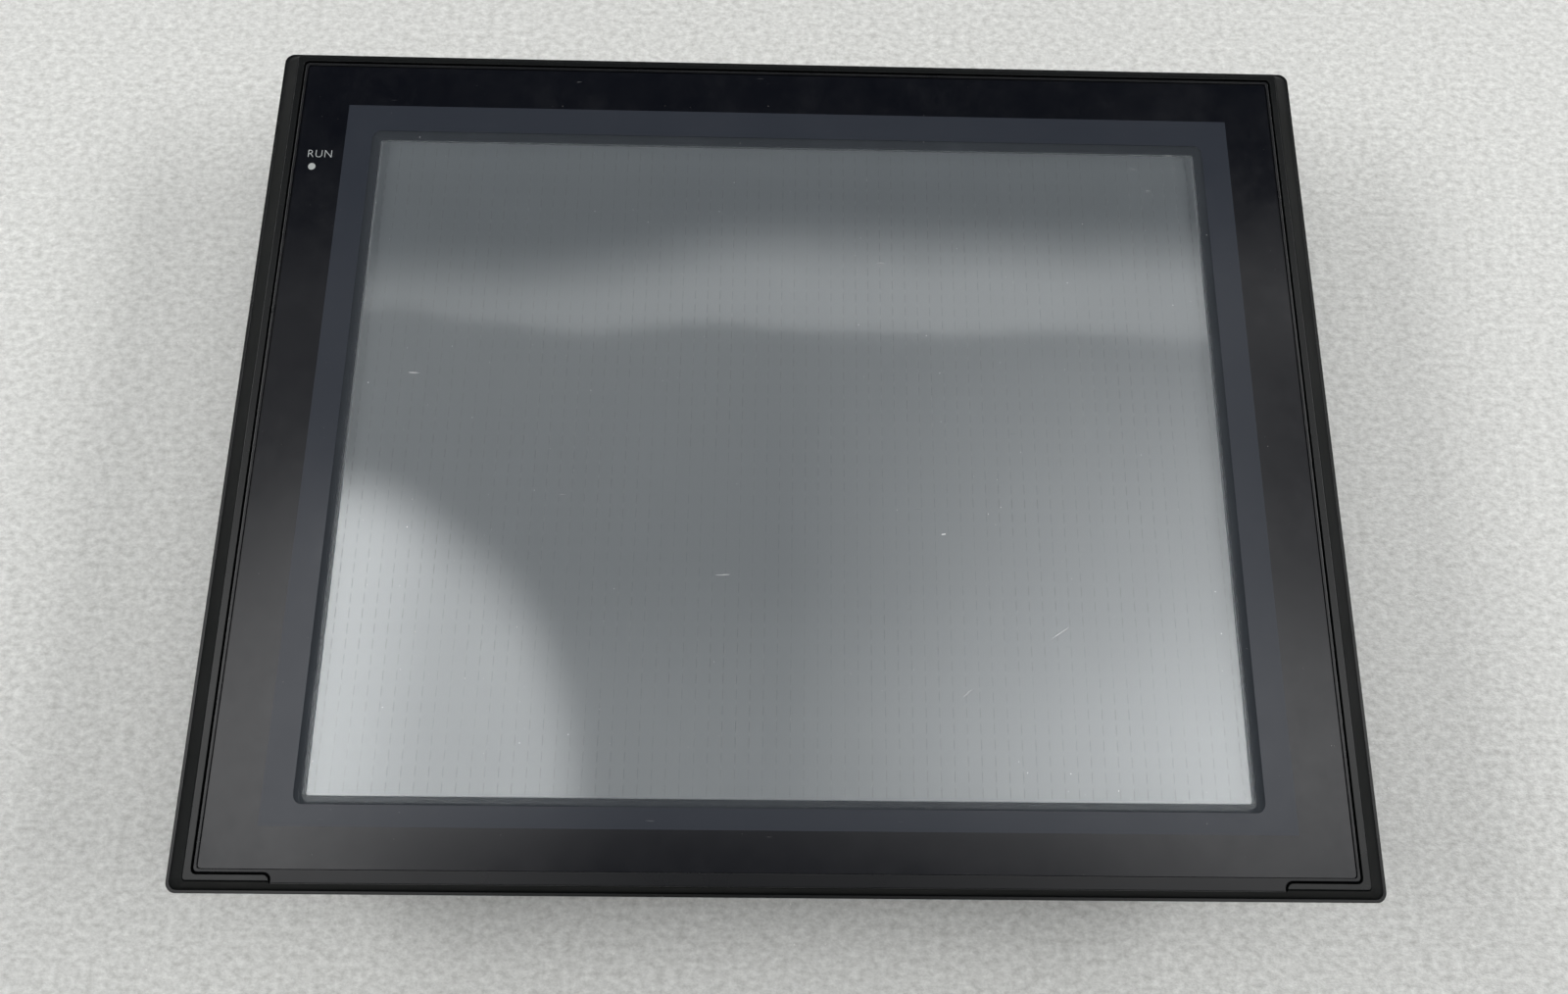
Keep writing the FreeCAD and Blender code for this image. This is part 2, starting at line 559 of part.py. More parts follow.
# ---------------------------------------------------------------- display module
def lcd_frame():
    """Steel front frame of the display module, folded back round its sides."""
    body = new_body("lcd_frame")
    slab(body, "lcd_frame_outline", "tray_level", "lcd_top", "0", "lcd_shift", "lcd_width",
         "lcd_height", "board_corner")
    hollow(body, "lcd_frame_inside", "tray_level - over", "lcd_top - lcd_skin", "0", "lcd_shift",
           "lcd_width - 2 * lcd_skin", "lcd_height - 2 * lcd_skin", "lcd_skin")
    hollow(body, "lcd_view", "tray_level", "lcd_top + over", "0", "lcd_shift", "view_width",
           "view_height", "lcd_skin")
    return subpart(body, "lcd_frame")


def lcd_tray():
    """Moulded tray that holds the light guide and the lamps."""
    body = new_body("lcd_tray")
    inset = "2 * (lcd_skin + tray_gap)"
    top = "lcd_glass_level - optics_thick"
    slab(body, "tray_outline", "tray_level", top, "0", "lcd_shift", f"lcd_width - {inset}",
         f"lcd_height - {inset}", "lcd_skin")
    hollow(body, "tray_inside", "tray_level + tray_floor", f"{top} + over", "0", "lcd_shift",
           "tray_inner_width", "tray_inner_height", "lcd_skin")
    return subpart(body, "lcd_tray")


def display_module():
    """Frame, glass, optical sheets, light guide, tray, lamps and back cover."""
    lcd_frame()
    flat_layer("lcd_glass", "lcd_glass_level", "lcd_glass_level + lcd_glass_thick", "lcd_shift",
               "glass_width", "glass_height", "lcd_skin")
    flat_layer("lcd_optical_sheets", "lcd_glass_level - optics_thick", "lcd_glass_level",
               "lcd_shift", "glass_width", "glass_height", "lcd_skin")
    guide_low = "tray_level + tray_floor"
    flat_layer("light_guide", guide_low, "lcd_glass_level - optics_thick", "lcd_shift",
               "guide_width", "guide_height", "lcd_skin")
    lcd_tray()
    middle = f"({guide_low} + lcd_glass_level - optics_thick) / 2"
    lamps = [rod(f"lamp_{side}", "-lamp_length / 2",
                 f"lcd_shift {sign} (guide_height / 2 + lamp_gap + lamp_radius)", middle,
                 "lamp_radius", "lamp_length", ALONG_X)
             for side, sign in (("upper", "+"), ("lower", "-"))]
    group("backlight_lamps", lamps)
    flat_layer("lcd_back_cover", "lcd_bottom", "tray_level", "lcd_shift", "lcd_width", "lcd_height",
               "board_corner")


# ---------------------------------------------------------------- flat cables
def ribbon(label, x, width, route):
    """Flat cable of one thickness along a route in the YZ plane, with round bends."""
    bend = size("flex_bend")
    spots = [Vector(size(f"{x} - {width} / 2"), size(y), size(z)) for y, z in route]
    edges = []
    start = spots[0]
    for before, corner, after in zip(spots, spots[1:], spots[2:]):
        into = (corner - before).normalize()
        out = (after - corner).normalize()
        first = corner - into * bend
        last = corner + out * bend
        hub = corner - into * bend + out * bend
        middle = hub + (corner - hub).normalize() * bend
        edges.append(Part.makeLine(start, first))
        edges.append(Part.Arc(first, middle, last).toShape())
        start = last
    edges.append(Part.makeLine(start, spots[-1]))
    path = Part.Wire(edges)
    side = (spots[1] - spots[0]).normalize().cross(ALONG_X) * (size("flex_thick") / 2)
    across = ALONG_X * size(width)
    outline = [spots[0] + side, spots[0] - side, spots[0] - side + across, spots[0] + side + across]
    profile = Part.makePolygon(outline + outline[:1])
    item = DOC.addObject("Part::Feature", label)
    item.Shape = path.makePipeShell([profile], True, False)
    item.Placement = FreeCAD.Placement()
    return subpart(item, label)


def flat_cables():
    """Cables of the touch glass and of the display, both ending at the main board."""
    glass_low = "sheet_level - touch_film_thick - touch_glass_thick"
    ribbon("touch_flex", "touch_flex_x", "touch_flex_width",
           [("touch_flex_start", f"{glass_low} - flex_thick / 2"),
            ("touch_flex_y", f"{glass_low} - flex_thick / 2"),
            ("touch_flex_y", "board_flex_level"), ("touch_flex_end", "board_flex_level")])
    ribbon("lcd_flex", "lcd_flex_x", "lcd_flex_width",
           [("lcd_flex_y", "lcd_bottom"), ("lcd_flex_y", "board_flex_level"),
            ("lcd_flex_end", "board_flex_level")])


# ---------------------------------------------------------------- chassis and boards
def chassis():
    """Steel plate behind the display, its screws and the standoffs that carry the boards."""
    body = new_body("chassis_plate")
    low = "lcd_bottom - chassis_thick"
    slab(body, "chassis_outline", low, "lcd_bottom", "0", "0", "chassis_width", "chassis_height",
         "chassis_corner")
    holes(body, "chassis_holes", f"{low} - over", "lcd_bottom", CHASSIS_SPOTS, "clear_radius")
    hollow(body, "cable_slot", f"{low} - over", "lcd_bottom", "lcd_flex_x", "lcd_flex_y",
           "lcd_flex_width + 2 * flex_slot", "2 * flex_slot", "board_corner")
    subpart(body, "chassis_plate")
    screw_group("chassis_screws", CHASSIS_SPOTS, low, "chassis_screw_length")
    board_top = "board_level + board_thick"
    standoffs = []
    for index, (x, y) in enumerate(BOARD_SPOTS, start=1):
        post = rod(f"standoff_post_{index}", x, y, board_top, "standoff_radius",
                   f"{low} - ({board_top})")
        bore = rod(f"standoff_bore_{index}", x, y, board_top, "thread_radius + thread_gap",
                   "board_screw_length")
        standoffs.append(cut(f"standoff_{index}", post, bore))
    group("board_standoffs", standoffs)
    screw_group("board_screws", BOARD_SPOTS, "board_level", "board_screw_length")


def board(label, x, y, spots):
    """Circuit board between its limits, with a hole at each standoff."""
    body = new_body(label)
    low, high = "board_level", "board_level + board_thick"
    middle = [f"(({first}) + ({last})) / 2" for first, last in (x, y)]
    sides = [f"({last}) - ({first})" for first, last in (x, y)]
    slab(body, label + "_outline", low, high, *middle, *sides, "board_corner")
    holes(body, label + "_holes", f"{low} - over", high, spots, "clear_radius")
    return body


def main_board():
    """Main board with the sockets of the two flat cables on its front side."""
    body = board("main_board", ("main_left", "main_right"), ("board_low", "main_top"), MAIN_SPOTS)
    top = "board_level + board_thick"
    sockets = (("touch_socket", "touch_flex_x", "touch_flex_width", "+"),
               ("lcd_socket", "lcd_flex_x", "lcd_flex_width", "-"))
    for name, x, width, way in sockets:
        end = "touch_flex_end" if way == "+" else "lcd_flex_end"
        slab(body, name, top, f"{top} + connector_high", x, f"{end} {way} connector_deep / 2",
             f"{width} + connector_high", "connector_deep")
    return subpart(body, "main_board")


def board_block(name, x, y, length, width, high):
    """Box on the rear side of the boards."""
    return block(name, about(x, length), about(y, width), (f"board_level - {high}", "board_level"))


def main_board_parts():
    """Processor, heat sink, memory chips, buzzer, battery holder and cell."""
    spot = ("processor_x", "processor_y")
    subpart(board_block("processor", *spot, "processor_size", "processor_size", "chip_thick"),
            "processor")
    top = "board_level - chip_thick"
    base = block("sink_plate", about("processor_x", "sink_size"), about("processor_y", "sink_size"),
                 (f"{top} - sink_base", top))
    fins = []
    for index in range(int(size("fin_count"))):
        x = f"processor_x - sink_size / 2 + {index} * (sink_size - fin_thick) / (fin_count - 1)"
        fins.append(block(f"sink_fin_{index + 1}", (x, f"{x} + fin_thick"),
                          about("processor_y", "sink_size"),
                          (f"{top} - sink_high", f"{top} - sink_base")))
    subpart(join("heat_sink", base, *fins), "heat_sink")
    chips = [board_block(f"memory_{index + 1}", "memory_x", f"memory_y + {index} * memory_pitch",
                         "memory_length", "memory_width", "memory_thick")
             for index in range(int(size("memory_count")))]
    group("memory_chips", chips)
    low = "board_level - buzzer_high"
    shell = rod("buzzer_shell", "buzzer_x", "buzzer_y", low, "buzzer_radius", "buzzer_high")
    port = rod("buzzer_port", "buzzer_x", "buzzer_y", f"{low} - over", "buzzer_hole",
               "over + chip_thick")
    subpart(cut("buzzer", shell, port), "buzzer")
    cell_spot = ("battery_x", "battery_y")
    cell_low = "board_level - holder_floor - cell_thick"
    frame = block("holder_frame", about("battery_x", "holder_width"),
                  about("battery_y", "holder_width"), (f"{cell_low} - holder_lip", "board_level"))
    well = rod("holder_well", *cell_spot, f"{cell_low} - over", "cell_radius + cell_gap",
               "cell_thick + over")
    subpart(cut("battery_holder", frame, well), "battery_holder")
    subpart(rod("coin_cell", *cell_spot, cell_low, "cell_radius", "cell_thick"), "coin_cell")


def power_side():
    """Power board and inverter board with the wound parts and capacitors on them."""
    power = board("power_board", ("power_left", "power_right"), ("board_low", "power_top"), POWER_SPOTS)
    subpart(power, "power_board")
    low = "board_level - transformer_high"
    winding = board_block("winding", "transformer_x", "transformer_y", "transformer_length",
                          "transformer_width - 2 * core_margin", "transformer_high")
    core = block("core", about("transformer_x", "transformer_length - 2 * core_margin"),
                 about("transformer_y", "transformer_width"),
                 (f"{low} + core_margin", "board_level - core_margin"))
    subpart(join("power_transformer", winding, core), "power_transformer")
    middle = "(capacitor_count - 1) / 2"
    cans = [rod(f"can_{index + 1}", f"transformer_x + ({index} - {middle}) * capacitor_pitch",
                "capacitor_y", "board_level - capacitor_high", "capacitor_radius", "capacitor_high")
            for index in range(int(size("capacitor_count")))]
    group("power_capacitors", cans)
    inverter = board("inverter_board", about("0", "inverter_length"),
                     about("inverter_y", "inverter_width"), INVERTER_SPOTS)
    subpart(inverter, "inverter_board")
    coils = [board_block(f"inverter_coil_{side}", f"{sign}inverter_coil_x", "inverter_y",
                         "inverter_coil_length", "inverter_coil_width", "inverter_coil_high")
             for side, sign in (("right", ""), ("left", "-"))]
    group("inverter_transformers", coils)


# ---------------------------------------------------------------- connectors in the recess
def board_foot(name, x, length, back, low):
    """Part of a connector that reaches down to the board, inside the case."""
    return block(name, about(x, length), (f"{back} - foot_deep", back), (low, "board_level"))


def terminal_block():
    """Three-way power terminal with a screw and a wire entry for each way, and lugs for its flap."""
    body = block("terminal_body", about("terminal_x", "terminal_length"),
                 ("terminal_front", "terminal_back"), ("terminal_low", "terminal_top"))
    foot = board_foot("terminal_foot", "terminal_x", "terminal_length", "terminal_back",
                      "terminal_low")
    lugs = []
    bores = []
    for side, way in (("right", "+"), ("left", "-")):
        inner = f"terminal_x {way} (terminal_length / 2 + flap_gap)"
        outer = f"{inner} {way} lug_thick"
        limits = (inner, outer) if way == "+" else (outer, inner)
        bridge = ("terminal_x", outer) if way == "+" else (outer, "terminal_x")
        lugs.append(block(f"lug_{side}", limits, ("flap_y - lug_half", "terminal_front + lug_half"),
                          ("flap_level - lug_half", "flap_level + lug_half - fit_gap")))
        lugs.append(block(f"lug_root_{side}", bridge, ("terminal_front", "terminal_front + lug_half"),
                          ("flap_level - lug_half", "flap_level + lug_half - fit_gap")))
        bores.append(rod(f"lug_bore_{side}", limits[0], "flap_y", "flap_level", "peg_radius + peg_gap",
                         "lug_thick", ALONG_X))
    for index in (-1, 0, 1):
        x = f"terminal_x + {index} * terminal_pitch"
        bores.append(rod(f"terminal_screw_hole_{index + 2}", x, "terminal_front - over",
                         "terminal_screw_level", "terminal_screw_radius + fit_gap",
                         "terminal_hole_deep + over", ALONG_Y))
        bores.append(rod(f"wire_hole_{index + 2}", x, "terminal_front - over", "wire_level",
                         "wire_radius", "wire_deep + over", ALONG_Y))
    subpart(cut("terminal_block", join("terminal_whole", body, foot, *lugs), *bores), "terminal_block")
    screws = []
    for index in (-1, 0, 1):
        x = f"terminal_x + {index} * terminal_pitch"
        start = "terminal_front + terminal_hole_deep"
        head = rod(f"clamp_head_{index + 2}", x, start, "terminal_screw_level", "terminal_screw_radius",
                   "terminal_screw_thick", DOWN_Y)
        front = f"{start} - terminal_screw_thick"
        slit = block(f"clamp_slit_{index + 2}", about(x, "2 * terminal_screw_radius + over"),
                     (f"{front} - over", f"{front} + drive_depth"),
                     about("terminal_screw_level", "drive_radius / 2"))
        screws.append(cut(f"clamp_{index + 2}", head, slit))
    group("terminal_screws", screws)


def terminal_cover():
    """Clear flap in front of the terminal, on two moulded pegs."""
    length = "terminal_length - 2 * flap_gap"
    barrel = rod("flap_barrel_rod", f"terminal_x - ({length}) / 2", "flap_y", "flap_level",
                 "flap_barrel", length, ALONG_X)
    pegs = rod("flap_pegs", "terminal_x - terminal_length / 2 - peg_length", "flap_y", "flap_level",
               "peg_radius", "terminal_length + 2 * peg_length", ALONG_X)
    front = "flap_y - flap_barrel"
    leaf = block("flap_leaf", about("terminal_x", length), (front, f"{front} + flap_thick"),
                 ("flap_level - flap_high", "flap_level"))
    subpart(join("terminal_cover", barrel, pegs, leaf), "terminal_cover")


def shell_outline(sketch, x, length, high, slant):
    """D-shaped outline: the lower side is shorter than the upper one."""
    middle = size("serial_level")
    half = size(high) / 2
    top = size(length) / 2
    foot = top - size(slant)
    centre = size(x)
    spots = [Vector(centre - foot, middle - half, 0), Vector(centre + foot, middle - half, 0),
             Vector(centre + top, middle + half, 0), Vector(centre - top, middle + half, 0)]
    sides = [sketch.addGeometry(Part.LineSegment(first, last), False)
             for first, last in zip(spots, spots[1:] + spots[:1])]
    for side, following in zip(sides, sides[1:] + sides[:1]):
        sketch.addConstraint(Sketcher.Constraint("Coincident", side, 2, following, 1))
    low, right, up, left = sides
    for side in (low, up):
        sketch.addConstraint(Sketcher.Constraint("Horizontal", side))
    limit(sketch, "DistanceX", (-1, 1, low, 1), f"{x} - ({length}) / 2 + {slant}")
    limit(sketch, "DistanceX", (-1, 1, low, 2), f"{x} + ({length}) / 2 - {slant}")
    limit(sketch, "DistanceX", (-1, 1, up, 1), f"{x} + ({length}) / 2")
    limit(sketch, "DistanceX", (-1, 1, up, 2), f"{x} - ({length}) / 2")
    limit(sketch, "DistanceY", (-1, 1, low, 1), f"serial_level - ({high}) / 2")
    limit(sketch, "DistanceY", (-1, 1, up, 1), f"serial_level + ({high}) / 2")


def serial_port(label, x, pins_stand):
    """Nine-way connector: body, flange and shell, with standing pins or with pin holes."""
    body = new_body(label)
    # levels along -Y: the wall's outer face, the flange's front and the shell's front
    wall = "-recess_y + fit_gap"
    front = f"{wall} + serial_flange_thick"
    reach = f"{front} + shell_reach"
    slab(body, label + "_flange", wall, front, x, "serial_level", "serial_flange_length",
         "serial_flange_high", "board_corner", "XZ_Plane")
    slab(body, label + "_body", "-serial_body_back", wall, x, "serial_level", "serial_body_length",
         "serial_body_high", "0", "XZ_Plane")
    foot_high = "board_level - serial_level"
    slab(body, label + "_foot", "-serial_body_back", "-serial_body_back + foot_deep", x,
         f"serial_level + ({foot_high}) / 2", "serial_body_length", foot_high, "0", "XZ_Plane")
    shell = new_sketch(body, label + "_shell", "XZ_Plane", front)
    shell_outline(shell, x, "shell_length", "shell_high", "shell_slant")
    grow(body, shell, "shell_reach")
    front_y = -size(front)
    soften(body, "shell_corner", lambda box: near(box.YMax, front_y)
           and near(box.YLength, size("shell_reach")) and near(box.ZLength, 0))
    deep = "shell_reach" if pins_stand else "insulator_sink"
    cavity = new_sketch(body, label + "_cavity", "XZ_Plane", f"{reach} - {deep}")
    shell_outline(cavity, x, "shell_length - 2 * shell_skin", "shell_high - 2 * shell_skin",
                  "shell_slant")
    sink(body, cavity, f"{deep} + over")
    # five pins in the upper row and four in the lower one, each row about the middle
    spots = [(f"{x} + ({index} - ({count} - 1) / 2) * pin_pitch", f"serial_level + {row}")
             for row, count in (("pin_row", 5), ("-pin_row", 4)) for index in range(count)]
    pins = new_sketch(body, label + "_pins", "XZ_Plane",
                      front if pins_stand else f"{reach} - pin_reach")
    draw_circles(pins, spots, "pin_radius")
    if pins_stand:
        grow(body, pins, "pin_reach")
    else:
        sink(body, pins, "pin_reach + over")
    ears = [(f"{x} {way} jack_spacing / 2", "serial_level") for way in ("+", "-")]
    holes(body, label + "_ears", f"{wall} - over", f"{front} + over", ears, "jack_thread + jack_gap",
          "XZ_Plane")
    return subpart(body, label)


def jackscrews():
    """Hexagon posts that hold both serial ports to the wall and take the cable screws."""
    flat_share = math.cos(math.pi / 6)
    posts_made = []
    front = "recess_y - fit_gap - serial_flange_thick"
    for port, x in (("a", "serial_a_x"), ("b", "serial_b_x")):
        for side in ("+", "-"):
            name = f"jack_{port}_{'right' if side == '+' else 'left'}"
            spot = f"{x} {side} jack_spacing / 2"
            nut = DOC.addObject("Part::Prism", name + "_nut")
            nut.Polygon = 6
            bind(nut, "Circumradius", f"jack_across / 2 / {flat_share}")
            bind(nut, "Height", "jack_reach")
            nut.Placement = FreeCAD.Placement(Vector(), FreeCAD.Rotation(ALONG_Z, DOWN_Y))
            place(nut, spot, front, "serial_level")
            tail = rod(name + "_tail", spot, front, "serial_level", "jack_thread", "jack_tail",
                       ALONG_Y)
            bore = rod(name + "_bore", spot, f"{front} - jack_reach", "serial_level", "jack_bore",
                       "jack_bore_deep", ALONG_Y)
            posts_made.append(cut(name, join(name + "_whole", nut, tail), bore))
    group("jackscrews", posts_made)


def ethernet_port():
    """Shielded network jack with its plug opening and latch notch."""
    shell = block("ethernet_shell", about("ethernet_x", "ethernet_length"),
                  ("ethernet_front", "ethernet_back"), ("ethernet_low", "ethernet_top"))
    foot = board_foot("ethernet_foot", "ethernet_x", "ethernet_length", "ethernet_back",
                      "ethernet_low")
    deep = ("ethernet_front - over", "ethernet_front + jack_deep")
    low = "ethernet_low + jack_low"
    opening = block("ethernet_opening", about("ethernet_x", "jack_width"), deep,
                    (low, f"{low} + jack_high"))
    latch = block("ethernet_latch", about("ethernet_x", "latch_width"), deep,
                  (f"{low} + jack_high - over", f"{low} + jack_high + latch_high"))
    whole = join("ethernet_whole", shell, foot)
    subpart(cut("ethernet_port", whole, opening, latch), "ethernet_port")


def usb_port():
    """Host port: folded shell with a tongue inside."""
    shell = block("usb_shell", about("usb_x", "usb_length"), ("usb_front", "usb_back"),
                  ("usb_low", "usb_top"))
    foot = board_foot("usb_foot", "usb_x", "usb_length", "usb_back", "usb_low")
    inside = block("usb_inside", about("usb_x", "usb_length - 2 * usb_skin"),
                   ("usb_front - over", "usb_back - foot_deep"),
                   ("usb_low + usb_skin", "usb_top - usb_skin"))
    hollow_shell = cut("usb_hollow", join("usb_whole", shell, foot), inside)
    tongue = block("usb_tongue", about("usb_x", "tongue_length"),
                   ("usb_front + tongue_sink", "usb_back - foot_deep"),
                   ("usb_low + tongue_rise", "usb_low + tongue_rise + tongue_thick"))
    subpart(join("usb_port", hollow_shell, tongue), "usb_port")


def dip_knob_x(index):
    return f"dip_x + ({index} - (dip_count - 1) / 2) * dip_pitch"


def dip_switch():
    """Four-way switch with a slot for each slider, and its sliders."""
    shell = block("dip_shell", about("dip_x", "dip_length"), ("dip_front", "dip_back"),
                  ("dip_low", "dip_top"))
    foot = block("dip_foot", about("dip_x", "dip_length"), ("dip_back - foot_deep / 2", "dip_back"),
                 ("dip_low", "board_level"))
    middle = "(dip_low + dip_top) / 2"
    slots = [block(f"dip_slot_{index + 1}", about(dip_knob_x(index), "dip_slot_width"),
                   ("dip_front - over", "dip_front + dip_slot_deep"), about(middle, "dip_slot_high"))
             for index in range(int(size("dip_count")))]
    subpart(cut("dip_switch", join("dip_whole", shell, foot), *slots), "dip_switch")
    low = f"{middle} - dip_slot_high / 2 + dip_knob_gap"
    back = "dip_front + dip_slot_deep - dip_knob_gap"
    for index in range(int(size("dip_count"))):
        label = f"dip_slider_{index + 1}"
        subpart(block(label, about(dip_knob_x(index), "dip_knob_width"),
                      (f"{back} - dip_knob_deep", back), (low, f"{low} + dip_knob_high")), label)


def reset():
    """Push switch on the board and the button that reaches through the wall."""
    shell = block("switch_shell", about("reset_x", "switch_size"), ("switch_front", "switch_back"),
                  ("reset_level - switch_size / 2", "board_level"))
    bore = rod("switch_bore", "reset_x", "switch_front - over", "reset_level",
               "stem_radius + stem_gap", "stem_bore + over", ALONG_Y)
    subpart(cut("reset_switch", shell, bore), "reset_switch")
    head_back = "switch_front - reset_travel_room"
    cap = rod("reset_cap", "reset_x", "reset_front", "reset_level", "reset_radius",
              f"{head_back} - reset_front", ALONG_Y)
    stem = rod("reset_stem", "reset_x", head_back, "reset_level", "stem_radius", "stem_length",
               ALONG_Y)
    subpart(join("reset_button", cap, stem), "reset_button")


# ---------------------------------------------------------------- memory card slot
CARD_MIDDLE = "card_level + card_slot_high / 2"


def card_socket():
    """Socket on the board that takes the card, with the channel of the eject button."""
    shell = block("socket_shell", ("card_socket_left", "card_block_left"),
                  about("card_socket_y", "card_socket_width"),
                  ("card_level - card_floor", "board_level"))
    slot = block("socket_slot", ("card_socket_left + card_wall", "card_block_left + over"),
                 about("card_y", "card_width"), ("card_level", "card_level + card_slot_high"))
    channel = block("socket_channel", ("eject_left - eject_room", "card_block_left + over"),
                    about("eject_y", "eject_size + 2 * eject_gap"),
                    about(CARD_MIDDLE, "eject_size + 2 * eject_gap"))
    subpart(cut("card_socket", shell, slot, channel), "card_socket")
    button = block("card_eject_button", ("eject_left", "eject_right"), about("eject_y", "eject_size"),
                   about(CARD_MIDDLE, "eject_size"))
    subpart(button, "card_eject_button")


def card_door():
    """Door over the card slot, on two moulded pegs along its upper edge."""
    face = "body_width / 2 - door_sink"
    axis = f"{face} - barrel_radius"
    leaf = block("door_leaf", (f"{face} - cover_thick", face), about("card_socket_y", "door_length"),
                 ("door_level - door_high", "door_level"))
    barrel = rod("door_barrel", axis, "card_socket_y - door_length / 2", "door_level",
                 "barrel_radius", "door_length", ALONG_Y)
    pegs = rod("door_pegs", axis, "card_socket_y - door_length / 2 - peg_length", "door_level",
               "peg_radius", "door_length + 2 * peg_length", ALONG_Y)
    subpart(join("card_door", leaf, barrel, pegs), "card_door")


# ---------------------------------------------------------------- rear case and its covers
def battery_cover():
    """Snap cover over the coin cell, on two moulded pegs along its upper edge."""
    axis_y = "battery_y + cover_width / 2"
    level = "cover_sink + barrel_radius"
    left = "battery_x - cover_length / 2"
    leaf = block("battery_leaf", about("battery_x", "cover_length"),
                 ("battery_y - cover_width / 2", axis_y), ("cover_sink", "cover_sink + cover_thick"))
    barrel = rod("battery_barrel", left, axis_y, level, "barrel_radius", "cover_length", ALONG_X)
    pegs = rod("battery_pegs", f"{left} - peg_length", axis_y, level, "peg_radius",
               "cover_length + 2 * peg_length", ALONG_X)
    subpart(join("battery_cover", leaf, barrel, pegs), "battery_cover")


def expansion_cover():
    """Screwed plate over the expansion opening and its four screws."""
    body = new_body("expansion_cover")
    top = "expansion_sink + expansion_thick"
    spots = expansion_spots()
    slab(body, "expansion_outline", "expansion_sink", top, "expansion_x", "expansion_y",
         "expansion_length - 2 * wall_gap", "expansion_width - 2 * wall_gap", "expansion_corner")
    holes(body, "expansion_holes", "expansion_sink - over", top, spots, "clear_radius")
    subpart(body, "expansion_cover")
    screw_group("expansion_screws", spots, "expansion_sink", "expansion_screw_length",
                "expansion_head_thick")


def expansion_spots():
    along = "(expansion_length / 2 - expansion_inset)"
    across = "(expansion_width / 2 - expansion_inset)"
    return [(f"expansion_x {first} {along}", f"expansion_y {second} {across}")
            for first in ("+", "-") for second in ("+", "-")]


def case_shell(body):
    """Outer form, the recess for the connectors and the hollow inside."""
    slab(body, "case_outline", "0", "joint_level", "0", "0", "body_width", "body_height",
         "body_corner")
    soften(body, "case_round", lambda box: flat_at(box, 0))
    hollow(body, "upper_room", "recess_level + case_wall", "joint_level + over", "0", "0",
           "body_width - 2 * case_wall", "body_height - 2 * case_wall", "body_corner - case_wall")
    shelf = "recess_y + case_wall"
    inner_top = "body_height / 2 - case_wall"
    hollow(body, "deep_room", "case_wall", "recess_level + case_wall", "0",
           f"({inner_top} + {shelf}) / 2", "body_width - 2 * case_wall", f"{inner_top} - ({shelf})",
           "body_corner - case_wall")
    inner_side = "body_width / 2 - case_wall"
    leg_side = "recess_width / 2 + case_wall"
    for side, sign in (("right", ""), ("left", "-")):
        hollow(body, f"leg_room_{side}", "case_wall", "recess_level + case_wall",
               f"{sign}({inner_side} + {leg_side}) / 2", f"({shelf} - ({inner_top})) / 2 + case_wall",
               f"{inner_side} - ({leg_side})", f"{inner_top} + {shelf} + 2 * case_wall",
               "body_corner - case_wall")
    hollow(body, "recess", "-over", "recess_level", "0", "recess_y - body_height / 2",
           "recess_width", "body_height", "board_corner")


def case_screw_holes(body):
    """Bosses for the case screws, with deep counterbores from the rear."""
    posts(body, "case_posts", "case_wall", "joint_level", CASE_SPOTS, "boss_radius")
    holes(body, "counterbores", "-over", "screw_shelf", CASE_SPOTS, "counterbore_radius")
    holes(body, "screw_holes", "screw_shelf - over", "joint_level", CASE_SPOTS, "clear_radius")


def vents():
    """Rows of slots through the back wall and two side walls."""
    back = ("-over", "case_wall + over")
    top = ("body_height / 2 - case_wall - over", "body_height / 2 + over")
    foot = ("-body_height / 2 - over", "-body_height / 2 + case_wall + over")
    rows = (
        ("back", "vent_count", about("vent_y", "vent_length"), back),
        ("low", "low_vent_count", about("low_vent_y", "low_vent_length"), back),
        ("top", "side_vent_count", top, about("side_vent_level", "side_vent_high")),
        ("foot", "side_vent_count", foot, about("low_side_vent_level", "low_side_vent_high")))
    slots = []
    for name, count, y, z in rows:
        for index in range(int(size(count))):
            x = f"({index} - ({count} - 1) / 2) * vent_pitch"
            slots.append(block(f"{name}_vent_{index + 1}", about(x, "vent_width"), y, z))
    item = DOC.addObject("Part::Compound", "vents")
    item.Links = slots
    return item


def bracket_pockets(body):
    """Eight blind pockets in the side walls that take the hooks of the mounting brackets."""
    wall = "(pocket_deep + pocket_wall)"
    long = "(pocket_length + 2 * pocket_wall)"
    low = "pocket_level"
    high = "pocket_level + pocket_high"
    sides = []
    for name, sign in (("right", ""), ("left", "-")):
        for row, y in (("upper", "pocket_y"), ("lower", "pocket_low_y")):
            sides.append((f"{name}_{row}", f"{sign}(body_width / 2 - {{deep}} / 2)", y, True))
    for name, sign in (("top", ""), ("foot", "-")):
        for row, x in (("right", "pocket_x"), ("left", "-pocket_x")):
            sides.append((f"{name}_{row}", x, f"{sign}(body_height / 2 - {{deep}} / 2)", False))
    for name, x, y, tall in sides:
        block_sides = (wall, long) if tall else (long, wall)
        slab(body, f"pocket_block_{name}", f"{low} - pocket_wall", f"{high} + pocket_wall",
             x.format(deep=wall), y.format(deep=wall), *block_sides)
    for name, x, y, tall in sides:
        hole_sides = ("pocket_deep", "pocket_length") if tall else ("pocket_length", "pocket_deep")
        hollow(body, f"pocket_{name}", low, high, x.format(deep="pocket_deep"),
               y.format(deep="pocket_deep"), *hole_sides)


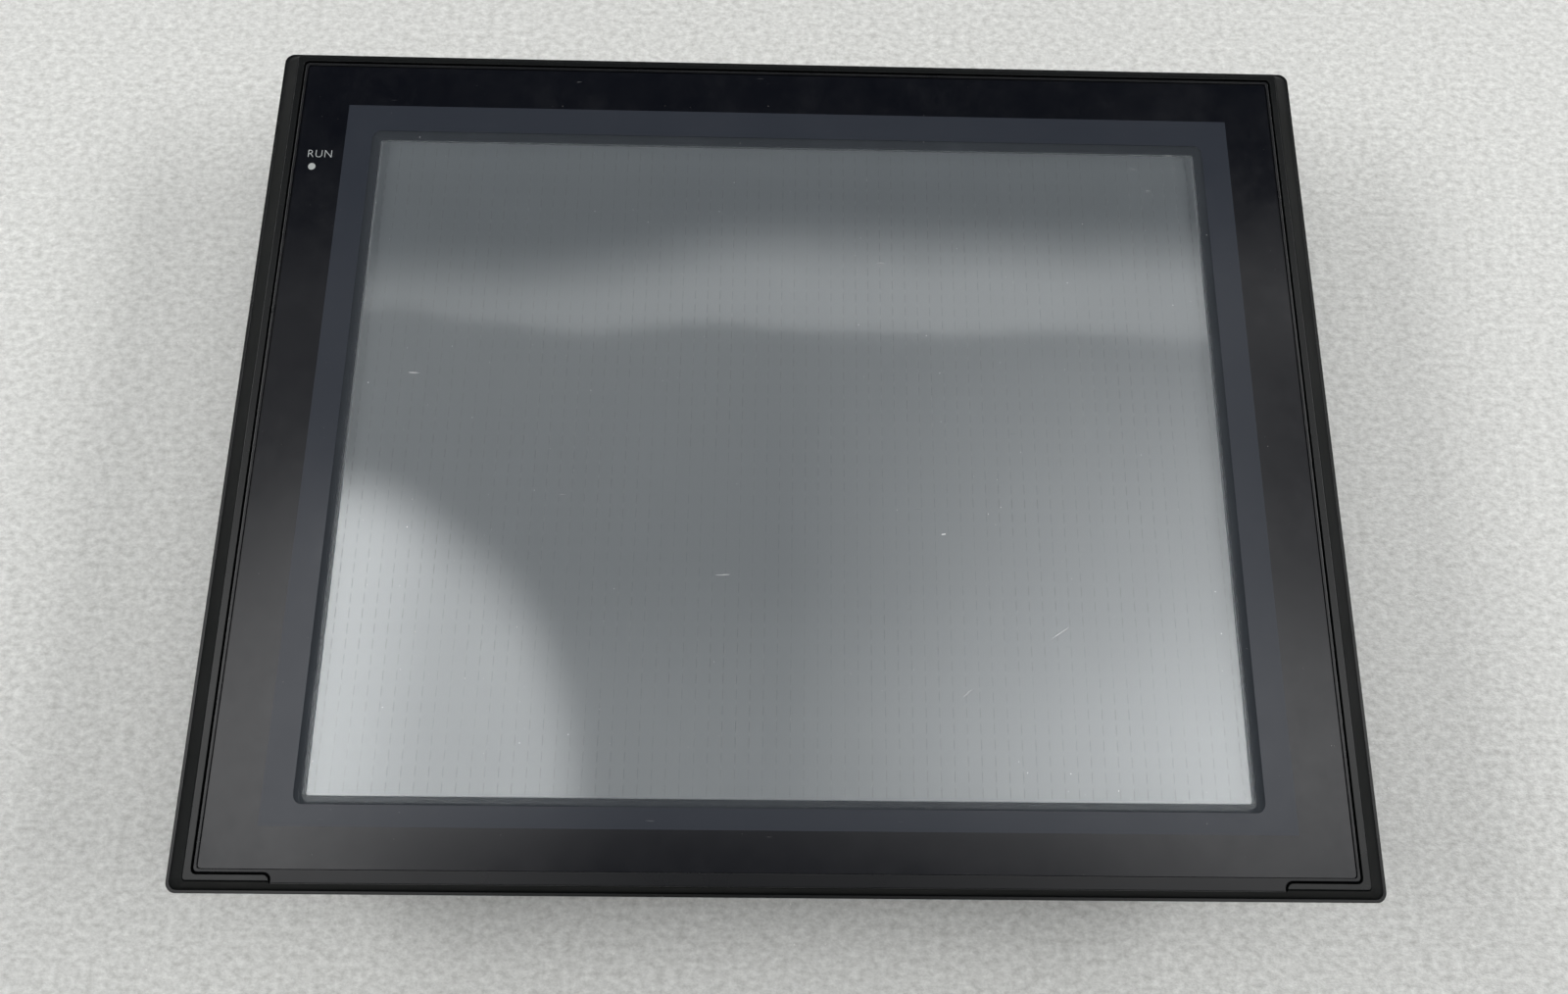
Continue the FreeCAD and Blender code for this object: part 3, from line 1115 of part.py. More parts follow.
def cover_openings(body):
    """Places of the battery cover, the expansion cover and the rating plate in the back wall."""
    axis_y = "battery_y + cover_width / 2"
    low_y = "battery_y - cover_width / 2 - cover_gap"
    high_y = f"{axis_y} + barrel_radius + cover_gap"
    width = "cover_length + 2 * cover_gap"
    middle_y = f"({low_y} + {high_y}) / 2"
    deep = f"{high_y} - ({low_y})"
    floor = "cover_sink + cover_thick + cover_gap"
    slab(body, "battery_frame", "case_wall", f"{floor} + cover_frame", "battery_x", middle_y,
         f"{width} + 2 * cover_frame", f"{deep} + 2 * cover_frame")
    hollow(body, "battery_recess", "-over", floor, "battery_x", middle_y, width, deep)
    channel = "2 * (barrel_radius + cover_gap)"
    hollow(body, "battery_channel", "-over", "cover_sink + 2 * barrel_radius + cover_gap", "battery_x",
           axis_y, width, channel)
    open_low = f"{low_y} + cover_ledge"
    open_high = f"{axis_y} - {channel} / 2 - cover_gap"
    hollow(body, "battery_opening", "-over", f"{floor} + cover_frame + over", "battery_x",
           f"({open_low} + {open_high}) / 2", f"{width} - 2 * cover_ledge",
           f"{open_high} - ({open_low})")
    pegs = new_sketch(body, "battery_peg_holes", "YZ_Plane",
                      "battery_x - cover_length / 2 - peg_length - peg_room")
    draw_circles(pegs, [(axis_y, "cover_sink + barrel_radius")], "peg_radius + peg_gap")
    sink(body, pegs, "cover_length + 2 * (peg_length + peg_room)")
    spot = ("expansion_x", "expansion_y")
    top = "expansion_sink + expansion_thick"
    sides = ("expansion_length", "expansion_width")
    slab(body, "expansion_rim", "case_wall", f"{top} + expansion_frame", *spot,
         *[f"{side} + 2 * expansion_frame" for side in sides])
    hollow(body, "expansion_recess", "-over", top, *spot, *sides, "expansion_corner")
    hollow(body, "expansion_opening", "-over", f"{top} + expansion_frame + over", *spot,
           *[f"{side} - 2 * expansion_ledge" for side in sides], "expansion_corner")
    holes(body, "expansion_threads", top, f"{top} + expansion_screw_length - expansion_thick "
          "+ thread_room", expansion_spots(), "thread_radius + thread_gap")
    hollow(body, "rating_recess", "-over", "rating_sink + rating_thick", "rating_x", "rating_y",
           "rating_length + 2 * wall_gap", "rating_width + 2 * wall_gap", "board_corner")


def connector_openings(body):
    """Openings in the recess wall for the connectors, the switch and the button."""
    inside = "-recess_y - case_wall - over"
    outside = "-recess_y + over"
    openings = (
        ("terminal", "terminal_x", "terminal_length", "terminal_low", "terminal_top"),
        ("serial_a", "serial_a_x", "serial_body_length", "serial_level - serial_body_high / 2",
         "serial_level + serial_body_high / 2"),
        ("serial_b", "serial_b_x", "serial_body_length", "serial_level - serial_body_high / 2",
         "serial_level + serial_body_high / 2"),
        ("ethernet", "ethernet_x", "ethernet_length", "ethernet_low", "ethernet_top"),
        ("usb", "usb_x", "usb_length", "usb_low", "usb_top"),
        ("dip", "dip_x", "dip_length", "dip_low", "dip_top"))
    for name, x, length, low, high in openings:
        hollow(body, f"{name}_opening", inside, outside, x, f"({low} + {high}) / 2",
               f"{length} + 2 * wall_gap", f"{high} - ({low}) + 2 * wall_gap", "0", "XZ_Plane")
    holes(body, "reset_opening", inside, outside, [("reset_x", "reset_level")],
          "reset_radius + wall_gap", "XZ_Plane")
    jacks = [(f"{x} {way} jack_spacing / 2", "serial_level") for x in ("serial_a_x", "serial_b_x")
             for way in ("+", "-")]
    holes(body, "jack_openings", inside, outside, jacks, "jack_thread + jack_gap", "XZ_Plane")


def card_opening(body):
    """Thick wall beside the card socket, with the door's place, the slot and the button's hole."""
    face = "body_width / 2"
    leaf_back = "door_sink + cover_thick + door_back_gap"
    low = "door_level - door_high - cover_gap"
    high = "door_level + barrel_radius + cover_gap"
    middle = f"({low} + {high}) / 2"
    width = "door_length + 2 * cover_gap"
    tall = f"{high} - ({low})"
    slab(body, "door_block", "card_block_left", f"{face} - case_wall / 2", "card_socket_y", middle,
         f"{width} + 2 * door_frame", f"{tall} + 2 * door_frame", "0", "YZ_Plane")
    hollow(body, "door_recess", f"{face} - ({leaf_back})", f"{face} + over", "card_socket_y", middle,
           width, tall, "0", "YZ_Plane")
    hollow(body, "door_channel", f"{face} - door_sink - 2 * barrel_radius - cover_gap",
           f"{face} + over", "card_socket_y", "door_level", width,
           "2 * (barrel_radius + cover_gap)", "0", "YZ_Plane")
    hollow(body, "card_slot", "card_block_left - over", f"{face} + over", "card_y", CARD_MIDDLE,
           "card_width + 2 * fit_gap", "card_slot_high", "0", "YZ_Plane")
    hollow(body, "eject_hole", "card_block_left - over", f"{face} + over", "eject_y", CARD_MIDDLE,
           "eject_size + 2 * eject_gap", "eject_size + 2 * eject_gap", "0", "YZ_Plane")
    pegs = new_sketch(body, "door_peg_holes", "XZ_Plane",
                      "-(card_socket_y + door_length / 2 + peg_length + peg_room)")
    draw_circles(pegs, [(f"{face} - door_sink - barrel_radius", "door_level")],
                 "peg_radius + peg_gap")
    sink(body, pegs, "door_length + 2 * (peg_length + peg_room)")


def rear_case():
    """Moulded case behind the panel."""
    body = new_body("case_moulding")
    case_shell(body)
    case_screw_holes(body)
    bracket_pockets(body)
    cover_openings(body)
    connector_openings(body)
    card_opening(body)
    return subpart(cut("rear_case", body, vents()), "rear_case")


def rear_fittings():
    """Case screws, panel gasket and the blank rating plate."""
    screw_group("case_screws", CASE_SPOTS, "screw_shelf",
                "joint_level - screw_shelf + screw_depth")
    body = new_body("panel_gasket")
    ring = ring_sketch(body, "gasket_ring", "seat_level - gasket_proud", "0",
                       "gasket_width - 2 * gasket_gap", "gasket_height - 2 * gasket_gap",
                       "gasket_corner - gasket_gap", "gasket_band - 2 * gasket_gap")
    grow(body, ring, "gasket_proud + gasket_sunk")
    subpart(body, "panel_gasket")
    flat = block("rating_plate", about("rating_x", "rating_length"), about("rating_y", "rating_width"),
                 ("rating_sink", "rating_sink + rating_thick"))
    subpart(flat, "rating_plate")


# ---------------------------------------------------------------- build, check and write
def build():
    fill_sheet()
    front_bezel()
    front_plate()
    screen_stack()
    run_light()
    display_module()
    flat_cables()
    chassis()
    main_board()
    main_board_parts()
    power_side()
    terminal_block()
    terminal_cover()
    serial_port("serial_port_a", "serial_a_x", True)
    serial_port("serial_port_b", "serial_b_x", False)
    jackscrews()
    ethernet_port()
    usb_port()
    dip_switch()
    reset()
    card_socket()
    card_door()
    rear_case()
    battery_cover()
    expansion_cover()
    rear_fittings()
    DOC.recompute()


def check():
    """Stop if anything in the document failed, or a pocket took nothing away."""
    for item in DOC.Objects:
        if "Invalid" in item.State or "Error" in item.State:
            raise RuntimeError(f"{item.Name} failed: {item.State}")
        if item.TypeId == "PartDesign::Pocket":
            if item.Shape.Volume >= item.BaseFeature.Shape.Volume:
                raise RuntimeError(f"{item.Name} cuts nothing")
    for item in SUBPARTS:
        if item.Shape.isNull() or not item.Shape.isValid():
            raise RuntimeError(f"{item.Label} has no valid shape")


def write():
    """One STEP file for each piece."""
    os.makedirs("parts", exist_ok=True)
    for item in SUBPARTS:
        item.Shape.exportStep(f"parts/{item.Label}.step")


build()
check()
write()
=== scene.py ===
import math

import bmesh
import bpy
from mathutils import Matrix, Vector


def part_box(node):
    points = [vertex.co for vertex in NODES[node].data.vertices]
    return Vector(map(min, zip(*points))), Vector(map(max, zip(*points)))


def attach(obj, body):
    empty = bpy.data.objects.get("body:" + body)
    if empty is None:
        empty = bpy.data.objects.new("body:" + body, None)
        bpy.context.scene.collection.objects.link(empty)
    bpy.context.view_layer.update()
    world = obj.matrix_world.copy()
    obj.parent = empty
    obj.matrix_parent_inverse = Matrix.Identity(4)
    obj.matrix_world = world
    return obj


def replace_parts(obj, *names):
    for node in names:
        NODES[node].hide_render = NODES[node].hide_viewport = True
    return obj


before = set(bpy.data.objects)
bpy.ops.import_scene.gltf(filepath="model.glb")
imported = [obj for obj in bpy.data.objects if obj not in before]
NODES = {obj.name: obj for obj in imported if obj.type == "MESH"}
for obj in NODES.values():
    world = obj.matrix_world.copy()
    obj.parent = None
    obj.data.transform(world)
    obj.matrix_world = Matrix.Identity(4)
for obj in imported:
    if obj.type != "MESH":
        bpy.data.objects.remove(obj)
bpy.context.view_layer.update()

# The object lies face up: X to the right of its screen, Y up the screen, Z out of it. Metres.
MM = 0.001
PANEL = "panel"


# ---------------------------------------------------------------- places read from the frame
def low(node):
    return Vector(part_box(node)[0])


def high(node):
    return Vector(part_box(node)[1])


def middle(node):
    return (low(node) + high(node)) / 2


FILM_LOW = low("overlay_film")
FILM_HIGH = high("overlay_film")
GLASS = middle("touch_glass")
LAMP_SPOT = middle("run_light_pipe")
LAMP_RADIUS = (high("run_light_pipe").x - low("run_light_pipe").x) / 2

# The window is the opening in the print. The clear part of the touch film lies inside it.
WINDOW_WIDTH = 268.0 * MM
WINDOW_HEIGHT = 204.6 * MM
CLEAR_WIDTH = 252.0 * MM
CLEAR_HEIGHT = 191.0 * MM
CLEAR_CORNER = 2.5 * MM
FILM_CORNER = 0.9 * MM
COAT_ROUGHNESS = 0.18
HAIR_GAP = 0.01 * MM

# Scratches of the screen: two ends and a width in millimetres, and how bright each one is.
SCRATCHES = (
    ((72.0, -55.0), (77.5, -51.5), 0.22, 0.3),
    ((47.5, -70.5), (50.5, -68.0), 0.2, 0.25),
    ((42.8, -27.2), (44.6, -27.0), 0.3, 0.5),
)


# ---------------------------------------------------------------- node trees
class Tree:
    """Nodes of one material or light, with short calls for those that the finishes use."""

    def __init__(self, owner):
        self.owner = owner
        owner.use_nodes = True
        self.tree = owner.node_tree
        self.tree.nodes.clear()
        lit = isinstance(owner, bpy.types.Light)
        self.out = self.tree.nodes.new("ShaderNodeOutput" + ("Light" if lit else "Material"))
        if lit:
            self.place = self.node("NewGeometry").outputs["Parametric"]
        else:
            self.place = self.node("TexCoord").outputs["Object"]
        self.x, self.y, self.z = self.node("SeparateXYZ", Vector=self.place).outputs

    def node(self, kind, settings=None, **inputs):
        """New node; its inputs are given by name, or as i0, i1 for numbered ones."""
        made = self.tree.nodes.new("ShaderNode" + kind)
        for field, value in (settings or {}).items():
            setattr(made, field, value)
        for name, value in inputs.items():
            numbered = name[0] == "i" and name[1:].isdigit()
            self.feed(made.inputs[int(name[1:]) if numbered else name.replace("_", " ")], value)
        return made

    def feed(self, socket, value):
        if isinstance(value, bpy.types.NodeSocket):
            self.tree.links.new(value, socket)
        elif socket.type == "RGBA":
            socket.default_value = (*value[:3], 1.0)
        else:
            socket.default_value = value

    def maths(self, operation, first, second=0.0, clamp=False):
        settings = {"operation": operation, "use_clamp": clamp}
        return self.node("Math", settings, i0=first, i1=second).outputs[0]

    def times(self, first, *others):
        for other in others:
            first = self.maths("MULTIPLY", first, other)
        return first

    def noise(self, size, detail=3.0, roughness=0.55, stretch=None, seed=0.0):
        """Noise whose features measure about the given size in metres, from 0 to 1."""
        place = self.place
        if stretch:
            place = self.node("Mapping", Scale=stretch, Vector=place).outputs[0]
        made = self.node("TexNoise", {"noise_dimensions": "4D"}, Vector=place, Scale=1 / size,
                         Detail=detail, Roughness=roughness, W=seed)
        return made.outputs[0]

    def cells(self, size):
        """Distance to the nearest of many points that lie about the given size apart."""
        return self.node("TexVoronoi", Vector=self.place, Scale=1 / size).outputs["Distance"]

    def beat(self, value, pitch):
        """Place within each of a run of equal steps, from 0 to 1."""
        return self.maths("FRACT", self.maths("DIVIDE", value, pitch))

    def invert(self, share):
        return self.maths("SUBTRACT", 1.0, share)

    def span(self, value, first, last, to_first=0.0, to_last=1.0, shape="LINEAR"):
        """The value between two limits, spread over two others."""
        settings = {"clamp": True, "interpolation_type": shape}
        made = self.node("MapRange", settings, i0=value, i1=first, i2=last, i3=to_first, i4=to_last)
        return made.outputs[0]

    def ease(self, value, first, last, to_first=0.0, to_last=1.0):
        """As span, with a soft start and end."""
        return self.span(value, first, last, to_first, to_last, "SMOOTHSTEP")

    def within(self, value, first, last, soft=0.02 * MM):
        """1 where the value lies between two limits."""
        above = self.span(value, first - soft, first + soft)
        below = self.span(value, last - soft, last + soft, 1.0, 0.0)
        return self.times(above, below)

    def mix(self, share, first, second):
        made = self.node("Mix", {"data_type": "RGBA"}, i0=share, i6=first, i7=second)
        return made.outputs[2]

    def blend(self, share, first, second):
        return self.node("MixShader", i0=share, i1=first, i2=second).outputs[0]

    def bump(self, height, distance, strength=1.0, normal=None):
        made = self.node("Bump", Height=height, Distance=distance, Strength=strength)
        if normal is not None:
            self.feed(made.inputs["Normal"], normal)
        return made.outputs[0]

    def rounded(self, radius):
        """Normal with its edges rounded, and how far each spot is from flat ground, 0 to 1."""
        soft = self.node("Bevel", {"samples": 4}, Radius=radius).outputs[0]
        flat = self.node("NewGeometry").outputs["Normal"]
        same = self.node("VectorMath", {"operation": "DOT_PRODUCT"}, i0=soft, i1=flat)
        return soft, self.span(same.outputs["Value"], 0.995, 0.9)

    def facing_up(self):
        """How far a face looks out of the screen: 1 straight out, 0 sideways, -1 backwards."""
        normal = self.node("NewGeometry").outputs["Normal"]
        return self.node("SeparateXYZ", Vector=normal).outputs[2]

    def cut_edge(self):
        """1 on the narrow sides of a sheet, 0 on its two faces."""
        return self.span(self.maths("ABSOLUTE", self.facing_up()), 0.6, 0.4)

    def surface(self, colour, roughness, normal=None, **more):
        made = self.node("BsdfPrincipled", Base_Color=colour, Roughness=roughness, **more)
        if normal is not None:
            self.feed(made.inputs["Normal"], normal)
        return made.outputs[0]

    def finish(self, shader):
        self.tree.links.new(shader, self.out.inputs["Surface"])
        return self.owner


def fresh(name):
    return Tree(bpy.data.materials.new(name))


def shades(colour, factor, lift=0.0):
    return tuple(min(1.0, part * factor + lift) for part in colour)


# ---------------------------------------------------------------- finishes
def moulded(name, colour, roughness, grain=0.35 * MM, depth=0.02 * MM, worn=0.12, dusty=0.1):
    """Spark-eroded plastic: fine grain, slow changes of gloss, polished edges and a little dust."""
    tree = fresh(name)
    soft, edge = tree.rounded(0.25 * MM)
    cloud = tree.noise(28 * MM, 4.0, 0.6, seed=3.0)
    rub = tree.noise(4 * MM, 5.0, 0.7, seed=7.0)
    dust = tree.span(tree.noise(0.9 * MM, 2.0, 0.7, seed=9.0), 0.73, 0.8)
    shade = tree.mix(tree.span(cloud, 0.35, 0.75, 0.0, 0.5), colour, shades(colour, 1.4, 0.002))
    shade = tree.mix(tree.times(edge, tree.span(rub, 0.35, 0.65), worn), shade, (0.22, 0.22, 0.22))
    shade = tree.mix(tree.times(dust, dusty), shade, (0.35, 0.34, 0.32))
    gloss = tree.span(cloud, 0.3, 0.8, roughness + 0.06, roughness - 0.06)
    gloss = tree.maths("SUBTRACT", gloss, tree.times(edge, 0.08))
    normal = tree.bump(tree.noise(grain, 2.0, 0.6), depth, 0.6, soft)
    return tree.finish(tree.surface(shade, gloss, normal, Specular_IOR_Level=0.4))


def bezel_finish():
    """Matt textured bevels round a rim whose flat top has been rubbed to a satin shine."""
    tree = fresh("bezel_black")
    soft, edge = tree.rounded(0.25 * MM)
    cloud = tree.noise(24 * MM, 4.0, 0.6, seed=3.0)
    rub = tree.noise(3 * MM, 5.0, 0.7, seed=7.0)
    flat = tree.span(tree.facing_up(), 0.97, 0.995)
    shade = tree.mix(tree.span(cloud, 0.35, 0.75), (0.0022, 0.003, 0.003), (0.0036, 0.004, 0.0044))
    shade = tree.mix(tree.times(edge, tree.span(rub, 0.4, 0.7), 0.07), shade, (0.25, 0.25, 0.25))
    nicks = tree.times(edge, tree.span(tree.noise(0.9 * MM, 2.0, 0.6, seed=17.0), 0.7, 0.76))
    shade = tree.mix(tree.times(nicks, 0.45), shade, (0.4, 0.4, 0.4))
    gloss = tree.maths("ADD", tree.span(flat, 0.0, 1.0, 0.5, 0.26),
                       tree.span(cloud, 0.3, 0.8, 0.04, -0.04))
    normal = tree.bump(tree.noise(0.4 * MM, 2.0, 0.6), 0.012 * MM, 0.4, soft)
    level = tree.span(flat, 0.0, 1.0, 0.04, 0.36)
    return tree.finish(tree.surface(shade, gloss, normal, Specular_IOR_Level=level))


def metal(name, colour, roughness):
    """Plated metal with a rolling direction, a cloudy film and brighter edges."""
    tree = fresh(name)
    soft, edge = tree.rounded(0.1 * MM)
    rolled = tree.noise(1.5 * MM, 4.0, 0.65, stretch=(0.3, 5.0, 5.0))
    cloud = tree.noise(9 * MM, 3.0, 0.6, seed=5.0)
    shade = tree.mix(tree.span(cloud, 0.3, 0.7), shades(colour, 0.78), colour)
    shade = tree.mix(tree.times(edge, 0.5), shade, shades(colour, 1.25))
    gloss = tree.span(rolled, 0.3, 0.7, roughness - 0.08, roughness + 0.12)
    normal = tree.bump(rolled, 0.008 * MM, 0.4, soft)
    return tree.finish(tree.surface(shade, gloss, normal, Metallic=1.0))


def rubber(name, colour):
    """Closed-cell rubber: matt, pitted and dusty."""
    tree = fresh(name)
    pits = tree.cells(0.4 * MM)
    cloud = tree.noise(12 * MM, 3.0, 0.6)
    shade = tree.mix(cloud, colour, shades(colour, 1.8, 0.001))
    normal = tree.bump(pits, 0.06 * MM, 0.7)
    return tree.finish(tree.surface(shade, 0.85, normal, Specular_IOR_Level=0.12))


def clear_part(name, tint):
    """Clear plastic: straight through, with a Fresnel gloss outside and a faint milky haze."""
    tree = fresh(name)
    roughness = 0.12
    haze = 0.05
    scuffs = tree.noise(2.5 * MM, 5.0, 0.7, stretch=(1.0, 4.0, 1.0))
    normal = tree.bump(scuffs, 0.01 * MM, 0.3)
    gloss = tree.span(scuffs, 0.4, 0.75, roughness, roughness + 0.15)
    shine = tree.node("BsdfGlossy", Color=(1, 1, 1), Roughness=gloss, Normal=normal).outputs[0]
    through = tree.node("BsdfTransparent", Color=tint).outputs[0]
    fog = tree.node("BsdfDiffuse", Color=(0.75, 0.8, 0.82)).outputs[0]
    body = tree.blend(tree.span(scuffs, 0.3, 0.8, haze * 0.5, haze * 1.6), through, fog)
    outside = tree.invert(tree.node("NewGeometry").outputs["Backfacing"])
    share = tree.times(tree.node("Fresnel", IOR=1.5).outputs[0], outside)
    return tree.finish(tree.blend(share, body, shine))


# ---------------------------------------------------------------- the front
def film_wear(tree):
    """Rubbed places, hairline scratches and specks of the hard coat, each from 0 to 1."""
    rubbed = tree.span(tree.noise(16 * MM, 6.0, 0.72, seed=6.0), 0.5, 0.85)
    along = tree.noise(2.2 * MM, 1.0, 0.4, stretch=(0.35, 3.2, 1.0), seed=11.0)
    patch = tree.span(tree.noise(24 * MM, 2.0, 0.5, seed=12.0), 0.6, 0.7)
    hairs = tree.times(tree.span(along, 0.735, 0.76), patch)
    specks = tree.span(tree.noise(0.7 * MM, 1.0, 0.5, seed=14.0), 0.79, 0.82)
    return rubbed, hairs, specks


def sheet_waves(tree):
    """Normal of a sheet that is slightly wavy over a hand's width."""
    return tree.bump(tree.noise(75 * MM, 1.0, 0.4, seed=1.0), 0.3 * MM)


def film_gloss(tree):
    """Normal and roughness of the film's front: an anti-glare coat on a slightly wavy sheet."""
    blotch = tree.noise(9 * MM, 5.0, 0.7, seed=6.0)
    gloss = tree.span(blotch, 0.3, 0.75, COAT_ROUGHNESS + 0.05, COAT_ROUGHNESS - 0.05)
    return sheet_waves(tree), gloss


def worn(tree, shade, rubbed_share, hair_share, speck_share):
    """The shade of the ink with the wear of the coat over it."""
    rubbed, hairs, specks = film_wear(tree)
    shade = tree.mix(tree.times(rubbed, rubbed_share), shade, (0.2, 0.2, 0.21))
    shade = tree.mix(tree.times(hairs, hair_share), shade, (0.6, 0.6, 0.6))
    return tree.mix(tree.times(specks, speck_share), shade, (0.45, 0.44, 0.42))


def printed_film():
    """Black back-printed polyester with a satin hard coat."""
    tree = fresh("printed_film")
    slow = tree.noise(45 * MM, 3.0, 0.5, seed=2.0)
    ink = tree.mix(tree.span(slow, 0.3, 0.75), (0.0015, 0.002, 0.0042), (0.003, 0.0036, 0.006))
    shade = worn(tree, ink, 0.035, 0.16, 0.25)
    normal, gloss = film_gloss(tree)
    return tree.finish(tree.surface(shade, gloss, normal, Specular_IOR_Level=0.42))


def window_mask():
    """Dark ink on the touch film's dead border, seen through the same satin coat."""
    tree = fresh("window_mask")
    cloud = tree.noise(30 * MM, 3.0, 0.5)
    ink = tree.mix(cloud, (0.024, 0.028, 0.037), (0.029, 0.033, 0.042))
    shade = worn(tree, ink, 0.02, 0.12, 0.2)
    normal, gloss = film_gloss(tree)
    return tree.finish(tree.surface(shade, gloss, normal, Specular_IOR_Level=0.28))


def scratch(tree, start, end, width):
    """Share of one straight scratch of the film that thins out towards both of its ends."""
    begin = Vector(start) * MM
    run = (Vector(end) - Vector(start)) * MM
    way = run.normalized()
    x = tree.maths("SUBTRACT", tree.x, begin.x)
    y = tree.maths("SUBTRACT", tree.y, begin.y)
    along = tree.maths("ADD", tree.times(x, way.x), tree.times(y, way.y))
    across = tree.maths("SUBTRACT", tree.times(x, way.y), tree.times(y, way.x))
    halfway = tree.maths("ABSOLUTE", tree.maths("SUBTRACT", along, run.length / 2))
    taper = tree.span(halfway, run.length / 2, run.length / 4)
    return tree.times(tree.span(tree.maths("ABSOLUTE", across), width * MM, 0.0), taper)


def window_film():
    """Clear middle of the overlay with the touch film behind it: a thin veil of haze, and faint
    dark electrode lines that run up the screen. The gloss is that of what lies behind."""
    tree = fresh("window_film")
    rubbed, hairs, specks = film_wear(tree)
    column = tree.beat(tree.x, 3.6 * MM)
    dash = tree.beat(tree.y, 4.0 * MM)
    darkness = 0.17
    fading = tree.span(tree.noise(26 * MM, 2.0, 0.5, seed=4.0), 0.35, 0.65, 0.3, 1.0)
    line = tree.times(tree.within(column, 0.48, 0.52, 0.012), tree.within(dash, 0.1, 0.75, 0.1),
                      fading, darkness)
    through = tree.node("BsdfTransparent", Color=(0.985, 0.988, 0.99)).outputs[0]
    veil = tree.node("BsdfDiffuse", Color=(0.62, 0.7, 0.8)).outputs[0]
    marks = tree.node("BsdfDiffuse", Color=(0.75, 0.75, 0.74)).outputs[0]
    dark = tree.node("BsdfDiffuse", Color=(0.05, 0.05, 0.055)).outputs[0]
    front = tree.span(tree.facing_up(), 0.4, 0.6)
    body = tree.blend(tree.times(front, tree.span(rubbed, 0.0, 1.0, 0.026, 0.036)), through, veil)
    body = tree.blend(tree.times(front, line), body, dark)
    for start, end, width, strength in SCRATCHES:
        cut = tree.times(front, scratch(tree, start, end, width), strength)
        body = tree.blend(cut, body, marks)
    wear = tree.maths("ADD", tree.times(hairs, 0.3), tree.times(specks, 0.4), True)
    return tree.finish(tree.blend(tree.times(front, wear), body, marks))


def glass_sheet():
    """Carrier glass: clear, with green edges."""
    tree = fresh("glass_sheet")
    swirl = tree.noise(30 * MM, 2.0, 0.5)
    through = tree.node("BsdfTransparent", Color=(0.985, 0.99, 0.988)).outputs[0]
    edge = tree.surface(tree.mix(swirl, (0.03, 0.06, 0.05), (0.05, 0.09, 0.075)), 0.3)
    return tree.finish(tree.blend(tree.cut_edge(), through, edge))


def display_face():
    """Unlit liquid crystal panel: grey, with a strong, slightly hazy reflection."""
    tree = fresh("display_face")
    slow = tree.noise(90 * MM, 2.0, 0.5, seed=4.0)
    shade = tree.mix(slow, (0.094, 0.099, 0.106), (0.111, 0.118, 0.119))
    return tree.finish(tree.surface(shade, 0.07, sheet_waves(tree), IOR=2.25))


def foam_tape():
    """Black foam that its adhesive has wetted to the glass, so its face looks smooth."""
    tree = fresh("foam_tape")
    pits = tree.cells(0.5 * MM)
    shade = tree.mix(pits, (0.0012, 0.0014, 0.0018), (0.002, 0.0022, 0.0026))
    normal, gloss = film_gloss(tree)
    return tree.finish(tree.surface(shade, gloss, normal, Specular_IOR_Level=0.4))


def display_surround():
    """Frame of the display module: dark mask on its face, bare steel on the cut edges."""
    tree = fresh("display_surround")
    cloud = tree.noise(30 * MM, 3.0, 0.5)
    shade = tree.mix(cloud, (0.002, 0.0024, 0.003), (0.003, 0.0034, 0.004))
    normal, gloss = film_gloss(tree)
    mask = tree.surface(shade, gloss, normal, Specular_IOR_Level=0.42)
    rolled = tree.noise(1.5 * MM, 4.0, 0.6, stretch=(1.0, 1.0, 6.0))
    steel = tree.surface((0.62, 0.63, 0.63), tree.span(rolled, 0.3, 0.7, 0.3, 0.5), Metallic=1.0)
    return tree.finish(tree.blend(tree.cut_edge(), mask, steel))


# ---------------------------------------------------------------- finishes with more than one colour
def circuit_board(name, colour):
    """Solder mask with copper tracks and tin pads showing through."""
    tree = fresh(name)
    track_pitch = 14 * MM
    pad_pitch = 3.4 * MM
    tracks = tree.node("TexBrick", {"offset": 0.37}, Vector=tree.place, Scale=1 / track_pitch,
                       Mortar_Size=0.035, Color1=(0, 0, 0), Color2=(0, 0, 0), Mortar=(1, 1, 1))
    pad = tree.span(tree.cells(pad_pitch), 0.15, 0.12)
    shade = tree.mix(tree.times(tracks.outputs[0], 0.6), colour, shades(colour, 1.8, 0.01))
    shade = tree.mix(tree.times(pad, 0.8), shade, (0.62, 0.6, 0.55))
    gloss = tree.span(tree.noise(6 * MM, 3.0), 0.3, 0.7, 0.28, 0.42)
    return tree.finish(tree.surface(shade, gloss, tree.bump(tracks.outputs[0], 0.02 * MM, 0.5)))


def laminate(name, colour):
    """White optical or reflector plastic with a soft sheen."""
    tree = fresh(name)
    cloud = tree.noise(20 * MM, 3.0)
    shade = tree.mix(cloud, colour, shades(colour, 0.9))
    return tree.finish(tree.surface(shade, tree.span(cloud, 0.3, 0.7, 0.3, 0.45),
                                    tree.bump(tree.noise(0.3 * MM), 0.01 * MM, 0.4)))


def flat_cable():
    """Amber polyimide with copper lines along its length."""
    tree = fresh("flat_cable")
    line = tree.within(tree.beat(tree.x, 1.0 * MM), 0.3, 0.8, 0.05)
    shade = tree.mix(line, (0.32, 0.14, 0.035), (0.5, 0.26, 0.09))
    return tree.finish(tree.surface(shade, 0.35, tree.bump(line, 0.03 * MM, 0.5)))


